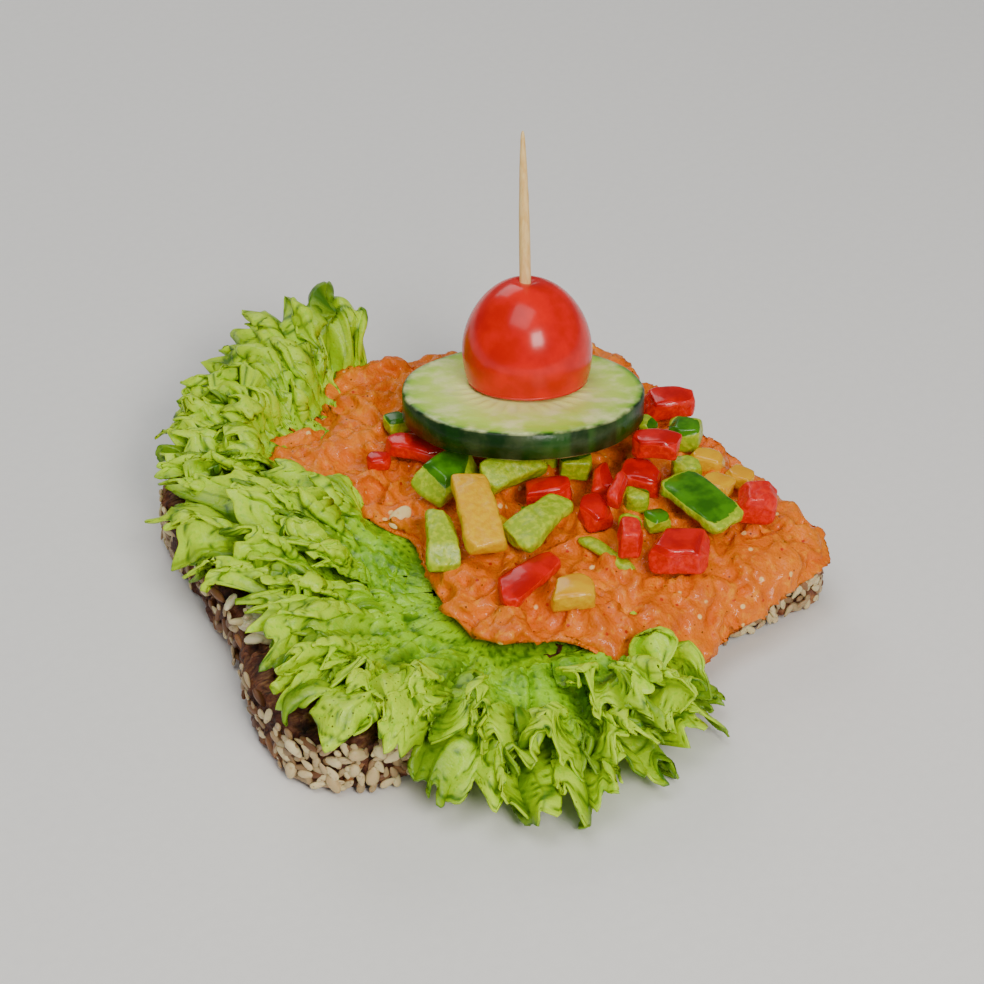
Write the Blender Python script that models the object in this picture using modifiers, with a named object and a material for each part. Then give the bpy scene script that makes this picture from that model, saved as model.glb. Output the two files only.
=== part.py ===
"""Open sandwich: seeded bread, lettuce, an orange spread, diced sweet pepper, a cucumber slice
and half a cherry tomato on a cocktail pick.

Metres, +Z up. The origin is the centre of the bread's underside, +X runs along the slice's
straight bottom crust and +Y points to its domed top.
"""
import math

import bmesh
import bpy
import numpy as np
from mathutils import Matrix, Vector
from mathutils.bvhtree import BVHTree

MM = 0.001
GAP = 0.3 * MM

BREAD_THICKNESS = 11 * MM
BREAD_BEVEL = 1.8 * MM
# The slice's corners: x, y and radius in millimetres, anticlockwise from the front left.
BREAD_CORNERS = (
    (-50, -46.6, 14), (54, -43.5, 6), (54, 34, 12), (10, 47, 60), (-39, 38.5, 14), (-43.4, -4, 40),
    (-49, -24, 20),
)

SHEET_THICKNESS = 0.8 * MM
SHEET_DROOP = 8 * MM
SHEET_DROOP_LENGTH = 10 * MM
# Each leaf is a fan. Its margin's heading in degrees, reach and lift off the bread in millimetres:
FRONT_LEAF_CENTRE = (0, -24 * MM)
FRONT_LEAF_MARGIN = (
    (106, 33, 0), (112, 40, 2), (118, 49, 4), (124, 57, 5), (131, 63, 6), (138, 58, 5), (151, 52, 3),
    (160, 47, 2), (172, 44, 1), (186, 46, 0), (199, 48, 0), (213, 45, 0), (229, 46, 0), (244, 49, 0),
    (255, 51, 0), (267, 50, 0), (277, 48, 0), (288, 44, 1), (297, 38, 1),
)
BACK_LEAF_CENTRE = (-4 * MM, 16 * MM)
BACK_LEAF_MARGIN = (
    (56, 29, 5), (70, 39, 12), (89, 43, 12), (98, 41, 11), (111, 40, 9), (130, 37, 7), (142, 39, 5),
    (157, 38, 3),
)

SPREAD_CENTRE = (18 * MM, -3 * MM)
SPREAD_THICKNESS = 4.6 * MM
SPREAD_MOUND = 1.6 * MM
# The spread's rim, x and y in millimetres, clockwise from the back left.
SPREAD_RIM = (
    (0.4, 42.2), (6.1, 45.5), (12.1, 43.4), (18.7, 42.8), (30.5, 40.5), (42, 36.5), (51.5, 31.5),
    (52.2, 15.6), (52.4, -4), (51.9, -24.3), (53.4, -42.6), (39.1, -45.6), (26.7, -47.6),
    (18.1, -50.4), (11.8, -51), (4.1, -45.9), (-3.5, -39.3), (-9.2, -38.9), (-13.9, -34),
    (-13.2, -26.6), (-10.8, -13.5), (-8.8, -6.5), (-12.5, 0.8), (-10.4, 8.6), (-18.5, 18), (-18.8, 30.5),
    (-9.9, 34.3), (-4.1, 33.6),
)

PEPPER_BEVEL = 0.55 * MM
# Diced pepper, lowest pieces first: length, width, thickness and the centre's x and y in
# millimetres; heading, rise of the far end and roll in degrees; width of the far end as a
# share of the near end's; bow of the strip in millimetres.
PEPPER_PIECES = (
    ("green", 15, 3, 1.6, 15.2, -32.2, -80, 0, 0, 0.9, 0.3),
    ("yellow", 8, 7, 4, 3.4, -38.2, -30, 3, 0, 0.85, 0.3),
    ("red", 10.4, 8, 5.5, 24, -38.4, -34, 0, 0, 0.9, 0.2),
    ("red", 4.2, 6, 6, 17.6, -33.6, -31, 0, 0, 1, 0),
    ("red", 14.5, 6.8, 2.8, -0.9, -30.8, 16, 4, 0, 0.7, 0.7),
    ("green", 5, 4.6, 3.6, 27, -28.4, -14, 0, 0, 0.8, 0),
    ("green", 4.2, 4.6, 4, 22.4, -27, -31, 0, 0, 0.9, 0),
    ("green", 4.6, 4.6, 4.2, 26.6, -22.6, -40, 0, 0, 0.9, 0),
    ("green", 5.4, 5, 4.2, 39.6, -18.8, -31, 0, 0, 0.9, 0),
    ("yellow", 6, 5.2, 3.8, 41.2, -25.4, -69, 0, 0, 0.9, 0.2),
    ("yellow", 5.5, 4.6, 3.4, 47.4, -24.2, -65, 0, 0, 0.8, 0.2),
    ("yellow", 6, 4.6, 3.8, 45.2, -17.4, -58, 0, 0, 0.8, 0.2),
    ("red", 7, 6.2, 6, 44.2, -33.6, -31, 0, 0, 0.95, 0),
    ("green", 3.6, 4, 3.4, 41, -4, -60, 0, 0, 0.9, 0),
    ("green", 6, 6, 5.4, 45, -10, -40, 0, 0, 0.9, 0),
    ("red", 9.5, 7, 4.4, 47.2, -1, -25, 4, 0, 0.75, 0.5),
    ("green", 15.5, 8.4, 2.6, 33.6, -28.8, -80, -6, 0, 0.95, 0.8),
    ("green", 14.5, 7.6, 2.8, 7.4, -23.2, 16, 7, 0, 0.75, 1.1),
    ("yellow", 5, 3, 2.2, 3.2, -17.4, -77, 0, 0, 0.7, 0.2),
    ("green", 4.2, 3.6, 2, 9, -15.6, -19, -8, 0, 0.5, 0),
    ("green", 12.5, 6, 4.4, -8.4, -15.2, 66, 8, 0, 0.8, 0.8),
    ("green", 6, 5, 3.6, 19, -3, -33, 0, 0, 0.9, 0.3),
    ("green", 6, 5.4, 4.2, 22.6, -9, -31, 0, 0, 0.9, 0),
    ("red", 8.4, 5.2, 4.2, 14.2, -14.2, -22, 6, 0, 0.85, 0.4),
    ("red", 6.8, 5.6, 4.4, 18, -21.8, 88, 10, 0, 0.85, 0.2),
    ("green", 12.8, 5.8, 4.1, 11, -8.8, -4, 2, 32, 0.75, 0.8),
    ("yellow", 16.8, 7.4, 3.4, -1.2, -15.9, 71, 12, 0, 0.85, 1.1),
    ("green", 11.4, 7.8, 4.4, 1.7, -1.2, 16, 4, 14, 0.8, 0.8),
    ("red", 13, 5.4, 3.4, 1.8, 10.2, -54, 0, 0, 0.9, 0.6),
    ("red", 4.5, 3.8, 3, -4.6, 12.8, -27, 0, 0, 0.9, 0),
    ("green", 4.4, 5, 3.2, 2.4, 19.4, -6, 0, 0, 0.9, 0.2),
    ("red", 7.4, 7, 4.8, 30.6, -19.4, -41, 0, 0, 0.9, 0.3),
    ("red", 8.5, 6, 4, 34.2, -16.8, -48, 4, 0, 0.85, 0.4),
    ("red", 7.6, 5.6, 4.2, 23, -17.2, 59, 12, 0, 0.6, 0.3),
    ("red", 7.4, 3, 3, 22.4, -23, 42, 12, 0, 0.7, 0.2),
)

CUCUMBER_RADIUS = 21.9 * MM
CUCUMBER_THICKNESS = 5 * MM
CUCUMBER_PLACE = (21.6 * MM, 7.4 * MM)
CUCUMBER_FACETS = 9
CUCUMBER_FACET_DEPTH = 0.1 * MM
CUCUMBER_TILT_HEADING = 59
TOPPING_TILT = 12

TOMATO_RADIUS = 11.7 * MM
TOMATO_HEIGHT = 19.2 * MM
TOMATO_CUT_ANGLE = math.radians(112)
TOMATO_OFFSET = Vector((2.5, 2.6, 0)) * MM

PICK_RADIUS = 1.1 * MM
PICK_TIP_RADIUS = 0.35 * MM
PICK_TAPER = 18 * MM
PICK_LENGTH = 67 * MM
PICK_ABOVE_CUCUMBER = 46.3 * MM
PICK_TILT_HEADING = 65
PICK_HOLE_RADIUS = PICK_RADIUS + GAP


def remove_scene_objects():
    """Empty the scene that Blender starts with."""
    for item in list(bpy.data.objects):
        bpy.data.objects.remove(item, do_unlink=True)


def new_collection(name):
    """Add a collection to the scene."""
    collection = bpy.data.collections.new(name)
    bpy.context.scene.collection.children.link(collection)
    return collection


def new_material(name, colour, roughness):
    """Make a plain material from an RGB colour and a roughness."""
    material = bpy.data.materials.new(name)
    material.use_nodes = True
    shader = material.node_tree.nodes["Principled BSDF"]
    shader.inputs["Base Color"].default_value = (*colour, 1)
    shader.inputs["Roughness"].default_value = roughness
    shader.inputs["Metallic"].default_value = 0
    return material


def new_object(name, mesh, collection, material):
    """Make a smooth-shaded object from a mesh."""
    item = bpy.data.objects.new(name, mesh)
    collection.objects.link(item)
    if material:
        mesh.materials.append(material)
    mesh.shade_smooth()
    mesh.set_sharp_from_angle(angle=math.radians(40))
    return item


def mesh_from_bmesh(name, bm):
    """Turn an edit mesh into a mesh with its faces pointing outwards."""
    bmesh.ops.recalc_face_normals(bm, faces=bm.faces)
    mesh = bpy.data.meshes.new(name)
    bm.to_mesh(mesh)
    bm.free()
    return mesh


def add_bevel(item, width, segments):
    """Round the sharp edges of an object."""
    bevel = item.modifiers.new("rounding", "BEVEL")
    bevel.width = width
    bevel.segments = segments
    bevel.limit_method = "ANGLE"
    bevel.angle_limit = math.radians(40)


def ease(value):
    """Go smoothly from 0 to 1 as the value does."""
    value = min(1, max(0, value))
    return value * value * (3 - 2 * value)


def rounded_loop(corners, steps=7):
    """Turn corners with radii, in millimetres, into a closed loop of points in metres."""
    loop = []
    for index, (x, y, radius) in enumerate(corners):
        corner = Vector((x, y))
        before = (Vector(corners[index - 1][:2]) - corner).normalized()
        after = (Vector(corners[(index + 1) % len(corners)][:2]) - corner).normalized()
        half = before.angle(after) / 2
        centre = corner + (before + after).normalized() * (radius / math.sin(half))
        start = corner + before * (radius / math.tan(half)) - centre
        turn = (math.pi - 2 * half) * (1 if before.cross(after) < 0 else -1)
        for step in range(steps + 1):
            loop.append((centre + Matrix.Rotation(turn * step / steps, 2) @ start) * MM)
    return loop


def distance_outside(loop, x, y):
    """Distance from a closed anticlockwise loop, negative inside it."""
    start = np.array(loop)
    side = np.roll(start, -1, axis=0) - start
    away = np.array((x, y)) - start
    along = np.clip((away * side).sum(axis=1) / (side * side).sum(axis=1), 0, 1)
    nearest = np.hypot(*(away - side * along[:, None]).T).min()
    crossing = (start[:, 1] > y) != (np.roll(start, -1, axis=0)[:, 1] > y)
    with np.errstate(divide="ignore", invalid="ignore"):
        cut = start[:, 0] + (y - start[:, 1]) * side[:, 0] / side[:, 1]
    inside = np.count_nonzero(crossing & (x < cut)) % 2 == 1
    return -nearest if inside else nearest


def sheet_rest_height(outside):
    """Underside of a soft layer that lies on the bread and hangs over its edge."""
    hang = max(0, outside - BREAD_BEVEL / 2)
    return BREAD_THICKNESS + GAP - SHEET_DROOP * (1 - math.exp(-hang / SHEET_DROOP_LENGTH))


def lumps(x, y, size, seed):
    """Smooth uneven height between about -1 and 1, with bumps of the given size."""
    generator = np.random.default_rng(seed)
    total = 0
    for heading in generator.uniform(0, math.tau, 5):
        phase = generator.uniform(0, math.tau)
        stretch = generator.uniform(0.7, 1.4)
        total += math.sin((x * math.cos(heading) + y * math.sin(heading)) * math.tau / size / stretch + phase)
    return total / 3


def spread_radius(heading):
    """Radius of the spread's rim about its centre, at a heading in radians."""
    places = np.array(SPREAD_RIM) * MM - np.array(SPREAD_CENTRE)
    headings = np.arctan2(places[:, 1], places[:, 0])
    order = np.argsort(headings)
    radii = np.hypot(places[:, 0], places[:, 1])
    return float(np.interp(heading, headings[order], radii[order], period=math.tau))


def spread_loop(steps=96):
    """The spread's rim as a closed anticlockwise loop."""
    loop = []
    for step in range(steps):
        heading = math.tau * step / steps
        reach = spread_radius(heading)
        x = SPREAD_CENTRE[0] + reach * math.cos(heading)
        y = SPREAD_CENTRE[1] + reach * math.sin(heading)
        loop.append((x, y))
    return loop


def bread_slice(collection, material, bread_loop):
    """The slice of bread: its outline, extruded, with rounded crust edges."""
    curve = bpy.data.curves.new("bread_outline", "CURVE")
    curve.dimensions = "2D"
    curve.fill_mode = "BOTH"
    curve.extrude = BREAD_THICKNESS / 2
    spline = curve.splines.new("POLY")
    spline.points.add(len(bread_loop) - 1)
    for point, (x, y) in zip(spline.points, bread_loop):
        point.co = (x, y, 0, 1)
    spline.use_cyclic_u = True
    outline = bpy.data.objects.new("bread_outline", curve)
    collection.objects.link(outline)
    graph = bpy.context.evaluated_depsgraph_get()
    bm = bmesh.new()
    bm.from_mesh(bpy.data.meshes.new_from_object(outline.evaluated_get(graph)))
    bpy.data.objects.remove(outline)
    bmesh.ops.remove_doubles(bm, verts=bm.verts, dist=0.01 * MM)
    bmesh.ops.dissolve_limit(bm, angle_limit=math.radians(0.1), verts=bm.verts, edges=bm.edges)
    bmesh.ops.translate(bm, verts=bm.verts, vec=(0, 0, BREAD_THICKNESS / 2))
    item = new_object("bread_slice", mesh_from_bmesh("bread_slice", bm), collection, material)
    add_bevel(item, BREAD_BEVEL, 2)
    return item


def lettuce_leaf(name, collection, material, centre, margin, shape, loops):
    """A frilly leaf: a fan-shaped sheet, flat under the spread and ruffled towards its margin."""
    bread_loop, rim_loop = loops
    headings = [math.radians(row[0]) for row in margin]
    reaches = [row[1] * MM for row in margin]
    lifts = [row[2] * MM for row in margin]
    mean_reach = sum(reaches) / len(reaches)
    bm = bmesh.new()
    bmesh.ops.create_grid(bm, x_segments=shape["across"], y_segments=shape["out"], size=1)
    for vert in bm.verts:
        heading = headings[-1] + (headings[0] - headings[-1]) * (vert.co.x + 1) / 2
        out = (vert.co.y + 1) / 2
        reach = shape["root"] + (np.interp(heading, headings, reaches) - shape["root"]) * out
        x = centre[0] + reach * math.cos(heading)
        y = centre[1] + reach * math.sin(heading)
        free = ease((distance_outside(rim_loop, x, y) - 2 * MM) / (12 * MM))
        arc = heading * mean_reach
        wave = math.sin(math.tau * arc / shape["wave"] + shape["phase"] + 3 * out)
        small_wave = math.sin(math.tau * arc / shape["wave"] * 2.3 + 5 * out)
        ruffle = shape["ruffle"] * free * out * (0.55 + 0.35 * wave + 0.1 * small_wave)
        lift = np.interp(heading, headings, lifts) * free * ease((out - 0.3) / 0.7)
        height = sheet_rest_height(distance_outside(bread_loop, x, y)) + ruffle + lift
        vert.co = (x, y, height)
    mesh = bpy.data.meshes.new(name)
    bm.to_mesh(mesh)
    bm.free()
    item = new_object(name, mesh, collection, material)
    solidify = item.modifiers.new("leaf_thickness", "SOLIDIFY")
    solidify.thickness = SHEET_THICKNESS
    solidify.offset = 1
    return item


class Support:
    """The finished outer surface of an object, for resting others on it."""

    def __init__(self, item):
        graph = bpy.context.evaluated_depsgraph_get()
        mesh = item.evaluated_get(graph).to_mesh()
        self.points = [item.matrix_world @ vert.co for vert in mesh.vertices]
        self.points += [sum((item.matrix_world @ mesh.vertices[i].co for i in edge.vertices), Vector()) / 2
                        for edge in mesh.edges]
        faces = [tuple(face.vertices) for face in mesh.polygons]
        self.tree = BVHTree.FromPolygons(self.points[:len(mesh.vertices)], faces)
        item.evaluated_get(graph).to_mesh_clear()
        self.low = Vector([min(point[axis] for point in self.points) for axis in range(3)])
        self.high = Vector([max(point[axis] for point in self.points) for axis in range(3)])

    def meets_in_plan(self, other, shift):
        """Whether two surfaces overlap when seen from above, one of them shifted."""
        return all(self.low[axis] < other.high[axis] + shift[axis]
                   and other.low[axis] + shift[axis] < self.high[axis] for axis in (0, 1))

    def top_at(self, x, y):
        """Height of the surface at a place, or None beside it."""
        hit = self.tree.ray_cast(Vector((x, y, 1)), Vector((0, 0, -1)))[0]
        return hit.z if hit else None

    def bottom_at(self, x, y):
        """Height of the underside at a place, or None beside it."""
        hit = self.tree.ray_cast(Vector((x, y, -1)), Vector((0, 0, 1)))[0]
        return hit.z if hit else None


def room_below(piece, supports, shift):
    """How far a shifted piece can go down before it meets what lies under it."""
    room = 1.0
    for support in supports:
        if not support.meets_in_plan(piece, shift):
            continue
        for point in piece.points:
            top = support.top_at(point.x + shift.x, point.y + shift.y)
            if top is not None:
                room = min(room, point.z - top)
        for point in support.points:
            bottom = piece.bottom_at(point.x - shift.x, point.y - shift.y)
            if bottom is not None:
                room = min(room, bottom - point.z)
    return room


def settle(item, supports, slide):
    """Let an object down onto what lies under it, at the lowest place within a short slide."""
    bpy.context.view_layer.update()
    piece = Support(item)
    best = None
    for reach in range(3 if slide else 1):
        for step in range(8 if reach else 1):
            heading = math.tau * step / 8
            shift = Vector((math.cos(heading), math.sin(heading), 0)) * slide * reach / 2
            drop = room_below(piece, supports, shift) - GAP
            score = drop - shift.length * 0.6
            if best is None or score > best[0]:
                best = (score, shift - Vector((0, 0, drop)))
    item.location += best[1]
    bpy.context.view_layer.update()
    supports.append(Support(item))


def tomato_spread(collection, material, bread_loop, leaves):
    """The spread: a ball flattened onto the bread and leaves, lumpy and round at its rim."""
    bm = bmesh.new()
    bmesh.ops.create_uvsphere(bm, u_segments=64, v_segments=16, radius=1)
    for vert in bm.verts:
        out = min(1, math.hypot(vert.co.x, vert.co.y))
        heading = math.atan2(vert.co.y, vert.co.x)
        reach = spread_radius(heading) * out
        x = SPREAD_CENTRE[0] + reach * math.cos(heading)
        y = SPREAD_CENTRE[1] + reach * math.sin(heading)
        under = sheet_rest_height(distance_outside(bread_loop, x, y))
        under = max(under, height_over_leaves(leaves, x, y) + GAP)
        thickness = SPREAD_THICKNESS + 0.6 * MM * lumps(x, y, 17 * MM, 3) + 0.25 * MM * lumps(x, y, 8 * MM, 8)
        thickness += SPREAD_MOUND * math.exp(-(reach / (24 * MM)) ** 2)
        rim = 0.35 * thickness
        if vert.co.z > -0.001:
            vert.co = (x, y, under + rim + (thickness - rim) * math.sqrt(1 - out ** 5))
        else:
            vert.co = (x, y, under + rim * out ** 10)
    return new_object("tomato_spread", mesh_from_bmesh("tomato_spread", bm), collection, material)


def height_over_leaves(leaves, x, y, reach=4 * MM):
    """Highest point of the leaves at a place and close round it."""
    heights = [0]
    places = [(x, y)]
    for step in range(16):
        heading = math.tau * step / 16
        for radius in (reach / 2, reach):
            places.append((x + radius * math.cos(heading), y + radius * math.sin(heading)))
    for leaf in leaves:
        heights += [leaf.top_at(*place) or 0 for place in places]
    return max(heights)


def pepper_piece(name, collection, material, row, seed):
    """A cut piece of pepper wall: an uneven block, bowed along its length."""
    length, width, thickness, x, y, heading, rise, roll, taper, bow = row
    generator = np.random.default_rng(seed)
    bm = bmesh.new()
    bmesh.ops.create_cube(bm, size=1)
    long_edges = [edge for edge in bm.edges if abs(edge.verts[0].co.x - edge.verts[1].co.x) > 0.5]
    if bow > 0.25:
        bmesh.ops.subdivide_edges(bm, edges=long_edges, cuts=2, use_grid_fill=True)
    for vert in bm.verts:
        along = vert.co.x + 0.5
        narrow = 1 + (taper - 1) * along
        uneven = Vector(generator.uniform(-0.06, 0.06, 3))
        place = Vector((vert.co.x, vert.co.y * narrow, vert.co.z)) + uneven
        bend = bow * (1 - (2 * vert.co.x) ** 2)
        vert.co = Vector((place.x * length, place.y * width, place.z * thickness + bend)) * MM
    item = new_object(name, mesh_from_bmesh(name, bm), collection, material)
    add_bevel(item, PEPPER_BEVEL, 1)
    item.rotation_euler = (
        Matrix.Rotation(math.radians(heading), 3, "Z")
        @ Matrix.Rotation(math.radians(-rise), 3, "Y")
        @ Matrix.Rotation(math.radians(roll), 3, "X")
    ).to_euler()
    item.location = (x * MM, y * MM, 60 * MM)
    return item


def topping_turn(heading):
    """The tilt of the cucumber, the tomato and the pick, away from the front."""
    heading = math.radians(heading)
    axis = Vector((-math.sin(heading), math.cos(heading), 0))
    return Matrix.Rotation(math.radians(TOPPING_TILT), 3, axis)


def cucumber_slice(collection, material):
    """A round slice with faint facets in its rind, centred on its top face."""
    bm = bmesh.new()
    bmesh.ops.create_cone(
        bm, cap_ends=True, segments=64, radius1=1, radius2=1, depth=CUCUMBER_THICKNESS)
    for vert in bm.verts:
        heading = math.atan2(vert.co.y, vert.co.x)
        radius = CUCUMBER_RADIUS + CUCUMBER_FACET_DEPTH * (math.cos(CUCUMBER_FACETS * heading) - 1)
        vert.co.x *= radius
        vert.co.y *= radius
        vert.co.z -= CUCUMBER_THICKNESS / 2
    item = new_object("cucumber_slice", mesh_from_bmesh("cucumber_slice", bm), collection, material)
    add_bevel(item, 0.5 * MM, 1)
    item.location = (*CUCUMBER_PLACE, 60 * MM)
    item.rotation_euler = topping_turn(CUCUMBER_TILT_HEADING).to_euler()
    return item


def turned_solid(name, profile, collection, material, steps):
    """Turn a profile of (radius, height) points, listed from the top down its outer side."""
    mesh = bpy.data.meshes.new(name)
    edges = [(index, index + 1) for index in range(len(profile) - 1)]
    mesh.from_pydata([(radius, 0, height) for radius, height in profile], edges, [])
    item = bpy.data.objects.new(name, mesh)
    collection.objects.link(item)
    if material:
        mesh.materials.append(material)
    screw = item.modifiers.new("turning", "SCREW")
    screw.steps = steps
    screw.render_steps = steps
    screw.use_merge_vertices = True
    screw.merge_threshold = 0.01 * MM
    screw.use_smooth_shade = True
    return item


def cherry_tomato_half(collection, material):
    """The tomato: a tall dome on its cut face."""
    steps = 11
    profile = []
    for step in range(steps + 1):
        angle = TOMATO_CUT_ANGLE * step / steps
        radius = TOMATO_RADIUS * math.sin(angle)
        share = (math.cos(angle) - math.cos(TOMATO_CUT_ANGLE)) / (1 - math.cos(TOMATO_CUT_ANGLE))
        profile.append((radius, TOMATO_HEIGHT * share))
    profile.append((0, 0))
    return turned_solid("cherry_tomato_half", profile, collection, material, 32)


def cocktail_pick(collection, material):
    """The wooden pick: a round stick with a long taper to a blunt tip, its origin at the tip."""
    profile = [(0, 0), (PICK_TIP_RADIUS, -0.15 * MM)]
    for share in (0.3, 0.65, 1):
        radius = PICK_TIP_RADIUS + (PICK_RADIUS - PICK_TIP_RADIUS) * share ** 0.8
        profile.append((radius, -PICK_TAPER * share))
    profile.append((PICK_RADIUS, -PICK_LENGTH))
    profile.append((0, -PICK_LENGTH))
    return turned_solid("cocktail_pick", profile, collection, material, 14)


def drill(item, cutter):
    """Cut the pick's hole in an object."""
    boolean = item.modifiers.new("pick_hole", "BOOLEAN")
    boolean.operation = "DIFFERENCE"
    boolean.solver = "EXACT"
    boolean.object = cutter


def pick_hole_cutter(collection, turn, tip):
    """A round bar along the pick, a little wider and longer below."""
    bm = bmesh.new()
    length = PICK_LENGTH + GAP
    bmesh.ops.create_cone(
        bm, cap_ends=True, segments=16, radius1=PICK_HOLE_RADIUS, radius2=PICK_HOLE_RADIUS, depth=length)
    bmesh.ops.translate(bm, verts=bm.verts, vec=(0, 0, -length / 2))
    cutter = new_object("pick_hole_cutter", mesh_from_bmesh("pick_hole_cutter", bm), collection, None)
    cutter.location = tip
    cutter.rotation_euler = turn.to_euler()
    cutter.hide_render = True
    cutter.display_type = "WIRE"
    return cutter


def main():
    """Build the sandwich from the bread up."""
    remove_scene_objects()
    sandwich = new_collection("open_sandwich")
    cutters = new_collection("cutters")
    crust = new_material("seeded_bread", (0.2, 0.09, 0.035), 0.85)
    leaf = new_material("lettuce", (0.33, 0.5, 0.04), 0.45)
    paste = new_material("orange_spread", (0.85, 0.24, 0.04), 0.4)
    peppers = {
        "red": new_material("red_pepper", (0.6, 0.02, 0.012), 0.3),
        "yellow": new_material("yellow_pepper", (0.95, 0.55, 0.02), 0.3),
        "green": new_material("green_pepper", (0.2, 0.33, 0.03), 0.3),
    }
    rind = new_material("cucumber", (0.5, 0.62, 0.25), 0.35)
    tomato_skin = new_material("cherry_tomato", (0.68, 0.03, 0.01), 0.2)
    wood = new_material("pick_wood", (0.75, 0.52, 0.28), 0.6)

    bread_loop = rounded_loop(BREAD_CORNERS)
    loops = (bread_loop, spread_loop())
    bread = bread_slice(sandwich, crust, bread_loop)
    front = lettuce_leaf(
        "lettuce_leaf_front", sandwich, leaf, FRONT_LEAF_CENTRE, FRONT_LEAF_MARGIN,
        {"across": 52, "out": 10, "root": 4 * MM, "wave": 13 * MM, "phase": 0, "ruffle": 8 * MM},
        loops)
    back = lettuce_leaf(
        "lettuce_leaf_back", sandwich, leaf, BACK_LEAF_CENTRE, BACK_LEAF_MARGIN,
        {"across": 30, "out": 9, "root": 4 * MM, "wave": 12 * MM, "phase": 1, "ruffle": 6 * MM},
        loops)
    bpy.context.view_layer.update()
    leaves = [Support(front), Support(back)]
    spread = tomato_spread(sandwich, paste, bread_loop, leaves)
    bpy.context.view_layer.update()

    supports = [Support(spread)]
    counts = {}
    for seed, (colour, *row) in enumerate(PEPPER_PIECES):
        counts[colour] = counts.get(colour, 0) + 1
        name = f"{colour}_pepper_{counts[colour]:02d}"
        piece = pepper_piece(name, sandwich, peppers[colour], row, seed)
        settle(piece, supports, 1.6 * MM)

    cucumber = cucumber_slice(sandwich, rind)
    settle(cucumber, supports, 0)

    turn = topping_turn(CUCUMBER_TILT_HEADING)
    tomato = cherry_tomato_half(sandwich, tomato_skin)
    tomato.rotation_euler = turn.to_euler()
    tomato.location = cucumber.location + turn @ (TOMATO_OFFSET + Vector((0, 0, GAP)))
    pick = cocktail_pick(sandwich, wood)
    pick_turn = topping_turn(PICK_TILT_HEADING)
    pick.rotation_euler = pick_turn.to_euler()
    pick.location = tomato.location + pick_turn @ Vector((0, 0, PICK_ABOVE_CUCUMBER))
    cutter = pick_hole_cutter(cutters, pick_turn, pick.location)
    for item in (tomato, cucumber, spread, bread):
        drill(item, cutter)


if __name__ == "__main__":
    main()
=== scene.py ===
import math

import bpy
import numpy as np
from bpy.props import FloatProperty, FloatVectorProperty, PointerProperty, StringProperty
from mathutils import Matrix, Vector
from mathutils.bvhtree import BVHTree


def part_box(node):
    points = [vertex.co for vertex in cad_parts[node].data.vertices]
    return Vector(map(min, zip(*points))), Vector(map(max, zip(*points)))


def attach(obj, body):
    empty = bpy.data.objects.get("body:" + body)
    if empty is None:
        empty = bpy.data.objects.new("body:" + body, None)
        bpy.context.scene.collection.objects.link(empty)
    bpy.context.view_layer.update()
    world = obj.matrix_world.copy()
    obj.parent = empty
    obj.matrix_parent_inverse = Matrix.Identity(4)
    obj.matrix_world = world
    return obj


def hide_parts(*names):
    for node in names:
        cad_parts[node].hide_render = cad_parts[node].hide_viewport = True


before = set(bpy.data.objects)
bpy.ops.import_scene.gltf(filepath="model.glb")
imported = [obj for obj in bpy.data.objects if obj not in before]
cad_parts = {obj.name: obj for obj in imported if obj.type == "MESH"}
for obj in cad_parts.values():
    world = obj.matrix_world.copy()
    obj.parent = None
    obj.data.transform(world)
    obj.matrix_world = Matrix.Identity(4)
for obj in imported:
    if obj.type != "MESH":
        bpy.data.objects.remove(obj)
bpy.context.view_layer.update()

bl_info = {
    "name": "Open Sandwich",
    "version": (1, 0, 0),
    "blender": (4, 5, 0),
    "location": "View3D > Sidebar > Sandwich",
    "description": "Makes seeded bread, frilly lettuce, spread, diced pepper and a cocktail pick's toppings",
    "category": "Mesh",
}

MM = 0.001
UP = Vector((0, 0, 1))
BREAD_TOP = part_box("bread_slice")[1].z
# Farther than any two points here, in cells or in metres.
FAR = 9.0
# Keeps a length that is divided by from being zero.
TINY = 1e-12
# Radius in millimetres at which a leaf's heading is turned into a length along its margin.
ARC_RADIUS = 42

# Margins of the lettuce layers: heading in degrees, reach and lift in millimetres.
FRONT_MARGIN = (
    (150, 39, 1), (160, 41, 1), (172, 42, 2), (186, 46, 2), (193, 48, 2), (199, 49, 3), (207, 50, 2),
    (214, 46, 2), (222, 45, 1), (230, 47, 0), (244, 50, -1), (256, 49, -1), (266, 45, -1), (276, 42, -1),
    (289, 41, -1), (299, 36, -1),
)
FRONT_LEFT_MARGIN = ((178, 39, 3), (190, 40, 4), (203, 43, 4), (216, 40, 3), (228, 39, 2), (240, 38, 1))
FRONT_MIDDLE_MARGIN = (
    (228, 36, 1), (244, 41, 2), (256, 43, 2), (268, 42, 3), (280, 40, 3), (291, 37, 1), (302, 31, 0),
)
FRONT_TOP_MARGIN = ((256, 33, 3), (268, 37, 5), (280, 37, 5), (288, 32, 2), (296, 27, 0), (303, 24, -1))
LEFT_MARGIN = (
    (112, 40, 1), (118, 48, 2), (124, 54, 3), (130, 59, 3), (137, 60, 3), (143, 56, 2), (149, 52, 2),
    (155, 48, 1), (161, 42, 1), (174, 39, 0),
)
LEFT_MIDDLE_MARGIN = ((112, 38, 3), (120, 45, 4), (130, 49, 5), (142, 47, 5), (154, 41, 3), (168, 35, 2))
LEFT_TOP_MARGIN = ((114, 32, 4), (122, 37, 5), (134, 40, 6), (146, 37, 5), (158, 32, 4))
BACK_MARGIN = (
    (56, 24, 3), (60, 31, 7), (65, 36, 10), (70, 40, 15), (76, 43, 18), (82, 39, 14), (91, 43, 16),
    (98, 41, 13), (111, 40, 10), (130, 36, 6), (142, 36, 5), (157, 36, 3), (168, 34, 2),
)
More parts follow.
